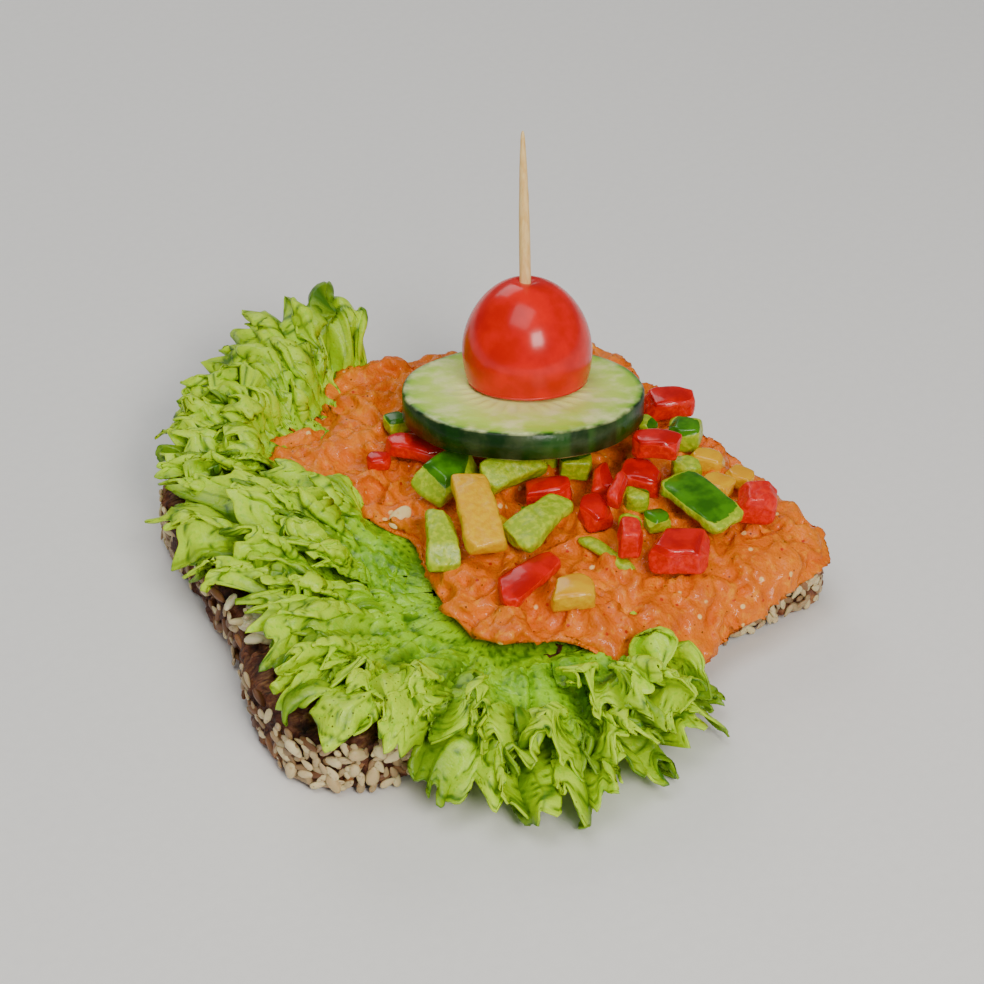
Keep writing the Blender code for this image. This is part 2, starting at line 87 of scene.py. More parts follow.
BACK_MIDDLE_MARGIN = (
    (80, 28, 8), (94, 31, 9), (108, 34, 9), (122, 33, 7), (136, 34, 5), (150, 33, 4), (164, 30, 3),
)
BACK_TOP_MARGIN = ((100, 20, 3), (116, 24, 5), (130, 26, 5), (146, 27, 5), (160, 24, 3))

# Points in millimetres from which the leaves' headings and reaches are counted.
FRONT_LEAF = (0, -24)
BACK_LEAF = (-4, 16)
# Layers of the leaves: name, centre, margin, the node it replaces, then columns and rows of points, root
# (where the layer starts), wave (length of a frill), frill (its height), lobe (depth of the lobes), raise
# (how far it is lifted off what it lies on) and seed of the draws. Lengths are in millimetres.
LAYER_NUMBERS = ("columns", "rows", "root", "wave", "frill", "lobe", "raise", "seed")
LAYERS = (
    ("lettuce_front", FRONT_LEAF, FRONT_MARGIN, "lettuce_leaf_front", 700, 60, 3, 6.6, 4, 5.2, 0, 1),
    ("lettuce_front_left", FRONT_LEAF, FRONT_LEFT_MARGIN, None, 360, 50, 22, 5, 2.6, 3.6, 0.8, 12),
    ("lettuce_front_middle", FRONT_LEAF, FRONT_MIDDLE_MARGIN, None, 420, 50, 22, 6.5, 4, 4.5, 1.5, 6),
    ("lettuce_front_top", FRONT_LEAF, FRONT_TOP_MARGIN, None, 300, 44, 20, 6, 3.4, 3.8, 2.5, 7),
    ("lettuce_left", FRONT_LEAF, LEFT_MARGIN, "lettuce_leaf_front", 520, 60, 8, 5.2, 3.2, 4.4, 0.2, 2),
    ("lettuce_left_middle", FRONT_LEAF, LEFT_MIDDLE_MARGIN, None, 380, 50, 20, 5.5, 3, 3.8, 1.5, 3),
    ("lettuce_left_top", FRONT_LEAF, LEFT_TOP_MARGIN, None, 340, 44, 18, 3.8, 2.5, 2.4, 2.2, 8),
    ("lettuce_back", BACK_LEAF, BACK_MARGIN, "lettuce_leaf_back", 620, 60, 8, 4.4, 2.6, 5.4, 0, 4),
    ("lettuce_back_middle", BACK_LEAF, BACK_MIDDLE_MARGIN, None, 400, 50, 8, 5, 2.4, 4, 2, 5),
    ("lettuce_back_top", BACK_LEAF, BACK_TOP_MARGIN, None, 340, 44, 8, 4.5, 2.2, 3, 3, 9),
)

# Flecks in the spread: size in millimetres, where a fleck's edge starts and ends, and colour.
FLECKS = ((3.1, (0.12, 0.07), "#c83000"), (2.2, (0.1, 0.05), "#4a2008"), (4.3, (0.14, 0.08), "#ffd080"))

# Colours of the peppers: skin, darker skin, flesh and deeper flesh.
PEPPERS = {
    "red": ("#e00600", "#bc0000", "#f02c10", "#dc1004"),
    "yellow": ("#eab400", "#e2a000", "#eebc00", "#e6aa00"),
    "green": ("#4a8c04", "#2c6402", "#c0d424", "#9ab818"),
}
# Pieces that lie with their flesh up.
FLESH_UP = (
    "green_pepper_01", "green_pepper_05", "green_pepper_09", "green_pepper_11", "green_pepper_14",
    "red_pepper_04", "yellow_pepper_06",
)
# Cuts that shape single pieces: heading and tilt in degrees, and the share of the half width that stays.
CUTS = {
    "red_pepper_03": ((155, 0, 0.66), (238, 0, 0.86), (80, 10, 0.86)),
    "green_pepper_08": ((150, 10, 0.85), (20, 0, 0.9)),
    "green_pepper_09": ((35, 20, 0.84), (180, 0, 0.8), (100, 10, 0.85)),
    "yellow_pepper_06": ((200, 10, 0.9),),
}


def linear(colour):
    """Turn an sRGB hex colour into linear RGB and alpha."""
    shares = [int(colour[start:start + 2], 16) / 255 for start in (1, 3, 5)]
    return (*[share / 12.92 if share <= 0.04045 else ((share + 0.055) / 1.055) ** 2.4 for share in shares], 1)


def ease(value):
    """Go smoothly from 0 to 1 as the value does."""
    value = np.clip(value, 0, 1)
    return value * value * (3 - 2 * value)


def soft_noise(points, size, seed):
    """Smooth noise from -1 to 1 at an array of points, with bumps of the given size."""
    table = np.random.default_rng(seed).uniform(-1, 1, (32, 32, 32))
    cell = points / size
    low = np.floor(cell).astype(int)
    share = ease(cell - low)
    total = 0
    for corner in np.ndindex(2, 2, 2):
        index = (low + corner) & 31
        weight = np.prod(np.where(corner, share, 1 - share), axis=-1)
        total = total + table[index[..., 0], index[..., 1], index[..., 2]] * weight
    return total


def cell_gap(points, size, seed):
    """Distance to the nearest wall of a net of uneven cells in the plane, in cells."""
    jitter = np.random.default_rng(seed).uniform(0.1, 0.9, (64, 64, 2))
    place = points / size
    low = np.floor(place).astype(int)
    nearest = np.full(place.shape[:-1], FAR)
    second = nearest.copy()
    for step in np.ndindex(3, 3):
        cell = low + np.array(step) - 1
        centre = cell + jitter[cell[..., 0] & 63, cell[..., 1] & 63]
        distance = np.linalg.norm(place - centre, axis=-1)
        second = np.minimum(second, np.maximum(nearest, distance))
        nearest = np.minimum(nearest, distance)
    return second - nearest


def outline(node, low=-1.0, high=1.0):
    """A node's outline seen from above: its outermost vertices by heading, anticlockwise."""
    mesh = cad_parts[node].data
    places = np.array([vert.co for vert in mesh.vertices if low < vert.co.z < high])[:, :2]
    corner = [Vector(end).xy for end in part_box(node)]
    away = places - np.array((corner[0] + corner[1]) / 2)
    headings = np.round(np.arctan2(away[:, 1], away[:, 0]), 3)
    radii = np.hypot(away[:, 0], away[:, 1])
    outermost = [np.flatnonzero(headings == h)[np.argmax(radii[headings == h])] for h in np.unique(headings)]
    return places[outermost]


def distance_outside(loop, x, y):
    """Distance of points from a closed anticlockwise loop, negative inside it."""
    nearest = np.full(x.shape, FAR)
    inside = np.zeros(x.shape, bool)
    for start, end in zip(loop, np.roll(loop, -1, axis=0)):
        side = end - start
        along = np.clip(((x - start[0]) * side[0] + (y - start[1]) * side[1]) / (side @ side + TINY), 0, 1)
        gap = np.hypot(x - start[0] - side[0] * along, y - start[1] - side[1] * along)
        nearest = np.minimum(nearest, gap)
        crosses = (start[1] > y) != (end[1] > y)
        inside ^= crosses & (x < start[0] + (y - start[1]) * side[0] / (side[1] or TINY))
    return np.where(inside, -nearest, nearest)


def activate(piece):
    """Make one object the only selected one, and the active one."""
    bpy.ops.object.select_all(action="DESELECT")
    piece.select_set(True)
    bpy.context.view_layer.objects.active = piece


def points_of(piece):
    """An object's vertex places as an array."""
    places = np.empty(len(piece.data.vertices) * 3)
    piece.data.vertices.foreach_get("co", places)
    return places.reshape(-1, 3)


def normals_of(piece):
    """An object's vertex normals as an array."""
    normals = np.empty(len(piece.data.vertices) * 3, np.float32)
    piece.data.vertex_normals.foreach_get("vector", normals)
    return normals.reshape(-1, 3).astype(float)


def move_points(piece, places):
    """Give an object's vertices new places."""
    piece.data.vertices.foreach_set("co", np.ascontiguousarray(places).ravel())
    piece.data.update()


def paint(piece, name, values):
    """Store one number for each vertex, for the materials to read."""
    layer = piece.data.attributes.get(name) or piece.data.attributes.new(name, "FLOAT", "POINT")
    layer.data.foreach_set("value", np.ascontiguousarray(values, np.float32).ravel())


def roughen(piece, layers, mask=1.0):
    """Push the surface out and in along its normals, in layers of size, depth and seed."""
    for size, depth, seed in layers:
        places = points_of(piece)
        push = soft_noise(places, size, seed) * depth * mask
        move_points(piece, places + normals_of(piece) * push[:, None])


def wrinkle(piece, size, depth, seed, mask=1.0):
    """Push the surface into soft ridges that wander like folds in a thick paste."""
    places = points_of(piece)
    drift = np.stack([soft_noise(places, 1.6 * size, seed + turn) for turn in (100, 200, 300)], axis=-1)
    ridge = 0.5 - np.abs(soft_noise(places + 0.9 * size * drift, size, seed)) * 2
    move_points(piece, places + normals_of(piece) * (ridge * depth * mask)[:, None])


def face_tree(piece):
    """A search tree of an object's faces."""
    places = [vert.co for vert in piece.data.vertices]
    return BVHTree.FromPolygons(places, [tuple(face.vertices) for face in piece.data.polygons])


def slice_off(piece, heading, tilt, keep):
    """Cut a flat face across a piece, square to a direction, at a share of its half width that way."""
    flat = math.cos(math.radians(tilt))
    turn = math.radians(heading)
    way = Vector((math.cos(turn) * flat, math.sin(turn) * flat, math.sin(math.radians(tilt))))
    along = points_of(piece) @ np.array(way)
    middle = (along.max() + along.min()) / 2
    activate(piece)
    bpy.ops.object.mode_set(mode="EDIT")
    bpy.ops.mesh.select_all(action="SELECT")
    place = way * (middle + (along.max() - middle) * keep)
    bpy.ops.mesh.bisect(plane_co=place, plane_no=way, use_fill=True, clear_outer=True)
    bpy.ops.object.mode_set(mode="OBJECT")


def copy_node(node, name):
    """Copy a CAD node's mesh as a new object of whole, merged faces."""
    piece = bpy.data.objects.new(name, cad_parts[node].data.copy())
    piece.data.materials.clear()
    bpy.context.scene.collection.objects.link(piece)
    activate(piece)
    bpy.ops.object.mode_set(mode="EDIT")
    bpy.ops.mesh.select_all(action="SELECT")
    bpy.ops.mesh.remove_doubles(threshold=0.02 * MM)
    bpy.ops.mesh.tris_convert_to_quads(face_threshold=math.radians(30), shape_threshold=math.radians(60))
    bpy.ops.object.mode_set(mode="OBJECT")
    return piece


def apply_modifier(piece, kind, **settings):
    """Add a modifier to an object and apply it."""
    activate(piece)
    modifier = piece.modifiers.new(kind.lower(), kind)
    for name, value in settings.items():
        setattr(modifier, name, value)
    bpy.ops.object.modifier_apply(modifier=modifier.name)


def subdivide(piece, levels):
    """Round an object with subdivision surfaces."""
    apply_modifier(piece, "SUBSURF", levels=levels, render_levels=levels)


def finish_piece(piece, material, slot, *nodes):
    """Put an object's place into its mesh, shade it, and fasten it to the frame."""
    activate(piece)
    bpy.ops.object.transform_apply(location=True, rotation=True, scale=True)
    bpy.ops.object.shade_smooth()
    piece.data.materials.clear()
    piece.data.materials.append(material)
    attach(piece, "root")
    if nodes:
        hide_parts(*nodes)


def new_material(name):
    """Start a material: its node tree, its shader and its Object coordinates."""
    material = bpy.data.materials.new(name)
    material.use_nodes = True
    tree = material.node_tree
    coordinates = tree.nodes.new("ShaderNodeTexCoord")
    return material, tree, tree.nodes["Principled BSDF"], coordinates.outputs["Object"]


def set_inputs(tree, item, inputs):
    """Set or link a node's inputs. A hex value is turned into a colour."""
    for socket, value in inputs.items():
        if isinstance(value, bpy.types.NodeSocket):
            tree.links.new(value, item.inputs[socket])
        else:
            item.inputs[socket].default_value = linear(value) if isinstance(value, str) else value


def add_node(tree, kind, inputs, output=0, stops=(), **settings):
    """Add a node with its properties, inputs and colour stops, and return one of its outputs."""
    item = tree.nodes.new("ShaderNode" + kind)
    for name, value in settings.items():
        setattr(item, name, value)
    set_inputs(tree, item, inputs)
    for index, (position, colour) in enumerate(stops):
        element = item.color_ramp.elements[index] if index < 2 else item.color_ramp.elements.new(position)
        element.position = position
        element.color = linear(colour)
    return item.outputs[output]


def pattern(tree, coordinates, size, detail=None, stretch=None):
    """A pattern whose features have a real size in metres: a noise of some detail, or else cells."""
    if stretch:
        coordinates = add_node(tree, "Mapping", {"Vector": coordinates, "Scale": stretch})
    inputs = {"Vector": coordinates, "Scale": 1 / size}
    if detail is None:
        return add_node(tree, "TexVoronoi", inputs)
    return add_node(tree, "TexNoise", {**inputs, "Detail": detail})


def lay_colour(tree, base, over, share, limits=None):
    """Lay a colour over another by a share, or by how far a pattern has come between two limits."""
    if limits:
        inputs = {0: share, 1: limits[0], 2: limits[1]}
        share = add_node(tree, "MapRange", inputs, interpolation_type="SMOOTHSTEP")
    return add_node(tree, "Mix", {0: share, 6: base, 7: over}, 2, data_type="RGBA")


def crumb_material(settings):
    """Dark seeded rye crumb, baked: rough, fibrous, golden on its ridges, with painted shade darkening its
    pores and sunken pits.
    """
    material, tree, shader, place = new_material("baked_rye_crumb")
    hollow_and_painted_shade = add_node(tree, "Attribute", {}, "Fac", attribute_name="hollow_and_painted_shade")
    blotches = pattern(tree, place, 9 * MM, detail=4)
    grain = pattern(tree, place, 1.6 * MM, detail=5, stretch=(1, 2.2, 1.4))
    fibres = pattern(tree, place, 0.9 * MM, detail=3, stretch=(0.35, 1.6, 1.6))
    # Painted shade: where the grain is low, and the bump sinks the surface, the crumb darkens to the pore
    # colour.
    tones = ((0.3, settings.pore_shade_colour), (0.48, settings.crumb_colour), (0.68, settings.ridge_colour))
    base = add_node(tree, "ValToRGB", {0: grain}, stops=tones)
    gold = lay_colour(tree, base, "#c08a58", fibres, (0.56, 0.72))
    shade = lay_colour(tree, "#8a6a55", "#ffffff", blotches, (0.42, 0.62))
    mixed = {0: 1.0, 6: gold, 7: shade}
    colour = add_node(tree, "Mix", mixed, 2, data_type="RGBA", blend_type="MULTIPLY")
    height = add_node(tree, "Math", {0: grain, 1: fibres}, operation="ADD")
    set_inputs(tree, shader, {
        # Painted shade: the sunken pits are darkened to near black.
        "Base Color": lay_colour(tree, colour, "#1c0e07", hollow_and_painted_shade),
        "Roughness": 0.62,
        "Specular IOR Level": 0.4,
        "Subsurface Weight": 0.05,
        "Subsurface Scale": 2 * MM,
        "Normal": add_node(tree, "Bump", {"Height": height, "Distance": 0.5 * MM, "Strength": 0.9}),
    })
    return material


def seed_material(name, light, dark, roughness=0.42):
    """Hulled seed or grain: pale, faintly oily skin, each one a little different in tone."""
    material, tree, shader, place = new_material(name)
    tone = add_node(tree, "Attribute", {}, "Fac", attribute_name="tone")
    streaks = pattern(tree, place, 0.7 * MM, detail=3)
    colour = lay_colour(tree, light, dark, tone)
    set_inputs(tree, shader, {
        "Base Color": lay_colour(tree, colour, dark, streaks, (0.55, 0.8)),
        "Roughness": roughness,
        "Subsurface Weight": 0.15,
        "Subsurface Scale": 1.2 * MM,
        "Normal": add_node(tree, "Bump", {"Height": streaks, "Distance": 0.08 * MM, "Strength": 0.6}),
    })
    return material


def lettuce_material(settings):
    """Fresh lettuce: thin waxy leaf that glows where light comes through, paler at its margin, with painted
    shade deep in its folds.
    """
    material, tree, shader, place = new_material("fresh_lettuce_leaf")
    edge = add_node(tree, "Attribute", {}, "Fac", attribute_name="edge")
    vein = add_node(tree, "Attribute", {}, "Fac", attribute_name="vein")
    fold_shade = add_node(tree, "Attribute", {}, "Fac", attribute_name="fold_shade")
    mottle = pattern(tree, place, 5 * MM, detail=4)
    fine = pattern(tree, place, 0.8 * MM, detail=3)
    leaf = lay_colour(tree, settings.deep_tone_and_shade_colour, settings.leaf_colour, mottle, (0.35, 0.65))
    leaf = lay_colour(tree, leaf, settings.margin_colour, edge)
    leaf = lay_colour(tree, leaf, settings.leaf_colour, fine, (0.5, 0.75))
    # Painted shade: deep in the folds the leaf darkens to the vein colour.
    leaf = lay_colour(tree, leaf, settings.vein_and_fold_shade_colour, fold_shade, (0.1, 1.5))
    leaf = lay_colour(tree, leaf, settings.vein_and_fold_shade_colour, vein)
    cells = pattern(tree, place, 1.1 * MM)
    patches = pattern(tree, place, 14 * MM, detail=2)
    freckles = add_node(tree, "MapRange", {0: cells, 1: 0.2, 2: 0.1}, interpolation_type="SMOOTHSTEP")
    where = add_node(tree, "MapRange", {0: patches, 1: 0.5, 2: 0.66}, interpolation_type="SMOOTHSTEP")
    few = add_node(tree, "Math", {0: freckles, 1: where}, operation="MULTIPLY")
    relief = add_node(tree, "Math", {0: fine, 1: mottle}, operation="ADD")
    set_inputs(tree, shader, {
        "Base Color": lay_colour(tree, leaf, "#4f5a12", few),
        "Roughness": 0.38,
        "Specular IOR Level": 0.35,
        "Subsurface Weight": 0.12,
        "Subsurface Scale": 1 * MM,
        "Subsurface Radius": (0.6, 1.0, 0.2),
        "Normal": add_node(tree, "Bump", {"Height": relief, "Distance": 0.25 * MM, "Strength": 0.7}),
    })
    return material


def spread_material(settings):
    """Moist pepper spread: soft orange paste, oily sheen, darker grains and red flecks, with painted shade in
    its hollows and creases.
    """
    material, tree, shader, place = new_material("moist_pepper_spread")
    hollow_and_painted_shade = add_node(tree, "Attribute", {}, "Fac", attribute_name="hollow_and_painted_shade")
    soft = pattern(tree, place, 7 * MM, detail=4)
    grain = pattern(tree, place, 1.3 * MM, detail=3)
    fine = pattern(tree, place, 0.55 * MM, detail=3)
    # Painted shade: a 7 mm noise darkens the paste to the deep colour, standing for its hollows.
    colour = lay_colour(tree, settings.deep_tone_and_shade_colour, settings.spread_colour, soft, (0.35, 0.68))
    colour = lay_colour(tree, colour, settings.pale_colour, grain, (0.5, 0.8))
    # Painted shade: a darker orange in the noise spots painted as creases.
    colour = lay_colour(tree, colour, "#d05c00", hollow_and_painted_shade)
    for size, limits, fleck in FLECKS:
        colour = lay_colour(tree, colour, fleck, pattern(tree, place, size * MM), limits)
    height = add_node(tree, "Math", {0: grain, 1: fine}, operation="ADD")
    set_inputs(tree, shader, {
        "Base Color": colour,
        "Roughness": 0.42,
        "Specular IOR Level": 0.25,
        "Subsurface Weight": 0.02,
        "Subsurface Scale": 1.5 * MM,
        "Subsurface Radius": (1.0, 0.35, 0.1),
        "Coat Weight": 0.2,
        "Coat Roughness": 0.08,
        "Normal": add_node(tree, "Bump", {"Height": height, "Distance": 0.32 * MM, "Strength": 0.85}),
    })
    return material


def pepper_material(name, skin, skin_dark, flesh, flesh_deep):
    """Sweet pepper: a thin glossy skin over moist, finely grained flesh."""
    material, tree, shader, place = new_material(name)
    side = add_node(tree, "Attribute", {}, "Fac", attribute_name="skin")
    mottle = pattern(tree, place, 3.5 * MM, detail=3)
    grain = pattern(tree, place, 0.9 * MM, detail=4)
    outer = lay_colour(tree, skin_dark, skin, mottle, (0.35, 0.65))
    inner = lay_colour(tree, flesh_deep, flesh, grain, (0.4, 0.66))
    shift = add_node(tree, "Math", {0: grain, 1: 0.5}, operation="SUBTRACT")
    border = add_node(tree, "Math", {0: side, 1: shift}, operation="ADD")
    cut = add_node(tree, "MapRange", {0: side, 1: 0.9, 2: 0.1}, interpolation_type="SMOOTHSTEP")
    relief = add_node(tree, "Math", {0: grain, 1: cut}, operation="MULTIPLY")
    set_inputs(tree, shader, {
        "Base Color": lay_colour(tree, inner, outer, border, (0.42, 0.58)),
        "Roughness": add_node(tree, "MapRange", {0: side, 1: 0.0, 2: 1.0, 3: 0.36, 4: 0.2}),
        "Specular IOR Level": 0.35,
        "Subsurface Weight": 0.04,
        "Subsurface Scale": 1.2 * MM,
        "Coat Weight": 0.12,
        "Coat Roughness": 0.08,
        "Normal": add_node(tree, "Bump", {"Height": relief, "Distance": 0.25 * MM, "Strength": 0.8}),
    })
    return material


def cucumber_material(settings):
    """Cucumber: dark waxy rind with pale streaks, and wet flesh that pales towards the seeds."""
    material, tree, shader, place = new_material("cut_cucumber")
    out = add_node(tree, "Attribute", {}, "Fac", attribute_name="out")
    streak = add_node(tree, "Attribute", {}, "Fac", attribute_name="streak")
    seed = add_node(tree, "Attribute", {}, "Fac", attribute_name="seed")
    skin = add_node(tree, "Attribute", {}, "Fac", attribute_name="rind")
    flesh = add_node(tree, "ValToRGB", {0: out}, stops=(
        (0.0, "#f0ff9c"), (0.5, "#eeff90"), (0.62, "#d8f870"), (0.8, "#ccf458"), (0.93, "#aadc38"),
        (0.965, "#66a41c"), (0.985, settings.rind_colour),
    ))
    cloud = pattern(tree, place, 4 * MM, detail=4)
    fine = pattern(tree, place, 0.8 * MM, detail=3)
    flesh = lay_colour(tree, flesh, "#f6ffae", cloud, (0.4, 0.75))
    flesh = lay_colour(tree, flesh, "#d2d860", seed)
    rind = lay_colour(tree, settings.rind_colour, "#164c04", streak)
    set_inputs(tree, shader, {
        "Base Color": lay_colour(tree, flesh, rind, skin),
        "Roughness": 0.34,
        "Specular IOR Level": 0.3,
        "Subsurface Weight": 0.1,
        "Subsurface Scale": 2 * MM,
        "Subsurface Radius": (0.8, 1.0, 0.4),
        "Coat Weight": 0.06,
        "Coat Roughness": 0.1,
        "Normal": add_node(tree, "Bump", {"Height": fine, "Distance": 0.12 * MM, "Strength": 0.6}),
    })
    return material


def tomato_material(settings):
    """Cherry tomato: tight, very glossy skin with the flesh's red just below it."""
    material, tree, shader, place = new_material("cherry_tomato_skin")
    cut = add_node(tree, "Attribute", {}, "Fac", attribute_name="cut")
    mottle = pattern(tree, place, 5 * MM, detail=3)
    fine = pattern(tree, place, 1.5 * MM, detail=2)
    colour = lay_colour(tree, settings.tomato_deep, settings.tomato_colour, mottle, (0.3, 0.7))
    set_inputs(tree, shader, {
        "Base Color": lay_colour(tree, colour, "#e0492c", cut),
        "Roughness": 0.22,
        "Specular IOR Level": 0.3,
        "Subsurface Weight": 0.03,
        "Subsurface Scale": 1.5 * MM,
        "Coat Weight": 0.14,
        "Coat Roughness": 0.05,
        "Normal": add_node(tree, "Bump", {"Height": fine, "Distance": 0.03 * MM, "Strength": 0.5}),
    })
    return material


def wood_material(settings):
    """Birch pick: bare turned wood with long fine grain."""
    material, tree, shader, place = new_material("turned_birch")
    grain = pattern(tree, place, 0.5 * MM, detail=4, stretch=(1, 1, 0.04))
    set_inputs(tree, shader, {
        "Base Color": lay_colour(tree, settings.pick_colour, "#f0c070", grain, (0.35, 0.7)),
        "Roughness": 0.55,
        "Subsurface Weight": 0.08,
        "Subsurface Scale": 1 * MM,
        "Normal": add_node(tree, "Bump", {"Height": grain, "Distance": 0.12 * MM, "Strength": 0.8}),
    })
    return material


def floor_material(settings):
    """Matt studio paper: pale, even and without gloss."""
    material, tree, shader, place = new_material("studio_paper")
    fibre = pattern(tree, place, 2 * MM, detail=2)
    set_inputs(tree, shader, {
        "Base Color": lay_colour(tree, settings.floor_colour, "#f6f5f2", fibre),
        "Roughness": 0.9,
        "Specular IOR Level": 0.2,
    })
    return material


def droop_height(outside):
    """Height of a soft layer that lies on the bread and hangs over its edge."""
    hang = np.maximum(0, outside - 1 * MM)
    return BREAD_TOP + 0.3 * MM - 8.5 * MM * (1 - np.exp(-hang / (10 * MM)))


def grid_frame(sheet):
    """Unit directions along, out and up from a sheet of points."""
    along = np.gradient(sheet, axis=0)
    out = np.gradient(sheet, axis=1)
    along /= np.linalg.norm(along, axis=2, keepdims=True) + TINY
    out /= np.linalg.norm(out, axis=2, keepdims=True) + TINY
    up = np.cross(out, along)
    up /= np.linalg.norm(up, axis=2, keepdims=True) + TINY
    return along, out, up


def line_noise(arc, size, seed):
    """Smooth noise along a margin."""
    line = np.stack([arc, np.zeros_like(arc), np.full(arc.shape, 3.7 * seed)], axis=-1)
    return soft_noise(line, size, seed)


def jagged(arc, seed):
    """How far sharp, uneven teeth stand out from a margin."""
    place = (arc + 1.1 * line_noise(arc, 4, seed)) / 2.3
    tooth = place % 1
    tooth = np.where(tooth < 0.6, tooth / 0.6, (1 - tooth) / 0.4)
    return (tooth ** 1.3 - 0.35) * (1.9 + 1.3 * line_noise(arc, 4, seed + 1))


def add_frills(sheet, ways, arc, share, phase, free, resting, spec):
    """Swing a leaf up and down in frills that curl inwards, and return how deep in a fold each point is,
    which the material paints as shade.
    """
    along, out, up = ways
    seed = spec["seed"]
    wave = spec["wave"]
    # Large frills grow towards the margin, uneven in size and spacing.
    size = 1 + 0.35 * line_noise(arc, 1.5 * wave, seed + 3)
    grow = ease((share - 0.2) / 0.8) ** 1.3 * spec["frill"] * size * free
    turn = phase + 1.1 * share + 1.2 * line_noise(share * 12 + arc, 8, seed + 4)
    turn += 1.7 * share * soft_noise(np.stack([arc, share * 40, 0 * arc + seed], axis=-1), 12, seed + 9)
    crest = np.cos(turn)
    swing = crest * (1 - 0.4 * resting) + 0.5 * resting
    # A finer flutter runs along the outer half.
    uneven = 1 + 0.6 * line_noise(arc, 7, seed + 8)
    flutter = ease((share - 0.45) / 0.55) * 0.33 * spec["frill"] * free * uneven
    small = math.pi * (arc + 1.4 * line_noise(arc, 5, seed + 5)) / (0.37 * wave) + 2 * share
    # Frills go up and down, lean over along the margin, and curl back at their crests.
    curl = 0.75 * np.maximum(0, crest) ** 2 - 0.2
    sheet += up * (grow * swing + flutter * np.cos(small))[..., None]
    sheet -= along * (0.5 * grow * np.sin(2 * turn) + 0.35 * flutter * np.sin(2 * small))[..., None]
    sheet -= out * (grow * ease((share - 0.5) / 0.5) * curl)[..., None]
    return ease((0.35 - crest) / 1.2) * ease((share - 0.25) / 0.35) * free


def add_blade(sheet, up, heading, radius, share, phase, free, seed):
    """Puff a leaf up between its veins and wrinkle it, and return how near a vein each point is."""
    # Veins are the walls of a net of cells, and the blade stands up like a cushion inside each cell.
    net = np.stack([heading * 26 * (1 + share) + 2 * line_noise(radius, 9, seed), radius / 1.6], axis=-1)
    ribs = cell_gap(net, 6, seed)
    bend = soft_noise(np.stack([heading * 9, radius / 12, 0 * radius], axis=-1), 1, seed)
    ridge = np.cos(heading * 27 + 2.6 * bend)
    cushion = 0.9 * (1 - np.exp(-(ribs / 0.35) ** 2)) * (1 - 0.5 * ease((share - 0.4) / 0.5))
    puff = 0.6 * ridge * ease((1 - share) / 0.3) + cushion
    wrinkles = 0.4 * soft_noise(sheet, 4.5, seed + 6) + 0.08 * soft_noise(sheet, 1.5, seed + 7)
    sheet += up * ((puff + wrinkles) * (0.15 + 0.85 * free))[..., None]
    vein = np.exp(-(ribs / 0.08) ** 2)
    return np.maximum(vein, 0.6 * np.exp(-(np.sin(phase) / 0.05) ** 2) * ease((share - 0.3) / 0.3))


def leaf_sheet(centre, margin, spec, loops):
    """The points of one frilly leaf in columns and rows, with their share of the reach, vein and fold depth
    for the painted fold shade.
    """
    bread_loop, rim_loop = loops
    seed = spec["seed"]
    wave = spec["wave"]
    turns, reaches, lifts = np.array(margin, float).T
    heading = np.radians(np.linspace(turns[0], turns[-1], spec["columns"]))
    reach = np.interp(heading, np.radians(turns), reaches)[:, None]
    lift = np.interp(heading, np.radians(turns), lifts)[:, None]
    # Rows lie closer together towards the margin, where the frills are.
    share = 1 - (1 - np.linspace(0, 1, spec["rows"])) ** 1.3
    heading, share = np.meshgrid(heading, share, indexing="ij")
    arc = heading * ARC_RADIUS
    # The margin runs in rounded lobes with small teeth on them.
    phase = math.pi * (arc + 0.45 * wave * line_noise(arc, 1.6 * wave, seed)) / wave
    depth = spec["lobe"] * (1 + 0.45 * line_noise(arc, 1.5 * wave, seed + 1))
    lobes = depth * (np.abs(np.cos(phase)) ** 0.6 - 0.6)
    teeth = 1.25 * jagged(arc, seed) * ease((share - 0.87) / 0.13)
    reach = reach + lobes * ease((share - 0.35) / 0.65) + teeth
    radius = spec["root"] + (reach - spec["root"]) * share
    drift = soft_noise(np.stack([arc, share * 30, 5 * share + seed], axis=-1), 8, seed)
    heading = heading + 2.2 / radius * share * drift
    x = centre[0] + radius * np.cos(heading)
    y = centre[1] + radius * np.sin(heading)
    # Clear of the spread the leaf is free to lift and frill, and on the bread it lies flatter.
    past_bread = distance_outside(bread_loop, x * MM, y * MM)
    free = ease((distance_outside(rim_loop, x * MM, y * MM) / MM - 0.3) / 5.5)
    resting = 1 - ease((past_bread / MM + 2) / 5)
    z = droop_height(past_bread) / MM
    z += lift * free * ease((share - 0.25) / 0.75) + spec["raise"] * ease(share / 0.3)
    z += 0.8 * spec["frill"] * free * ease((share - 0.3) / 0.7)
    sheet = np.stack([x, y, z], axis=-1)
    ways = grid_frame(sheet)
    fold_shade = add_frills(sheet, ways, arc, share, phase, free, resting, spec)
    vein = add_blade(sheet, ways[2], heading, radius, share, phase, free, seed)
    # No point goes into the bread or the floor.
    past_bread = distance_outside(bread_loop, sheet[..., 0] * MM, sheet[..., 1] * MM) / MM
    lowest = 0.9 + (BREAD_TOP / MM - 0.35) * ease((0.9 - past_bread) / 0.8)
    sheet[..., 2] = np.maximum(sheet[..., 2], lowest)
    return sheet * MM, share, vein, fold_shade


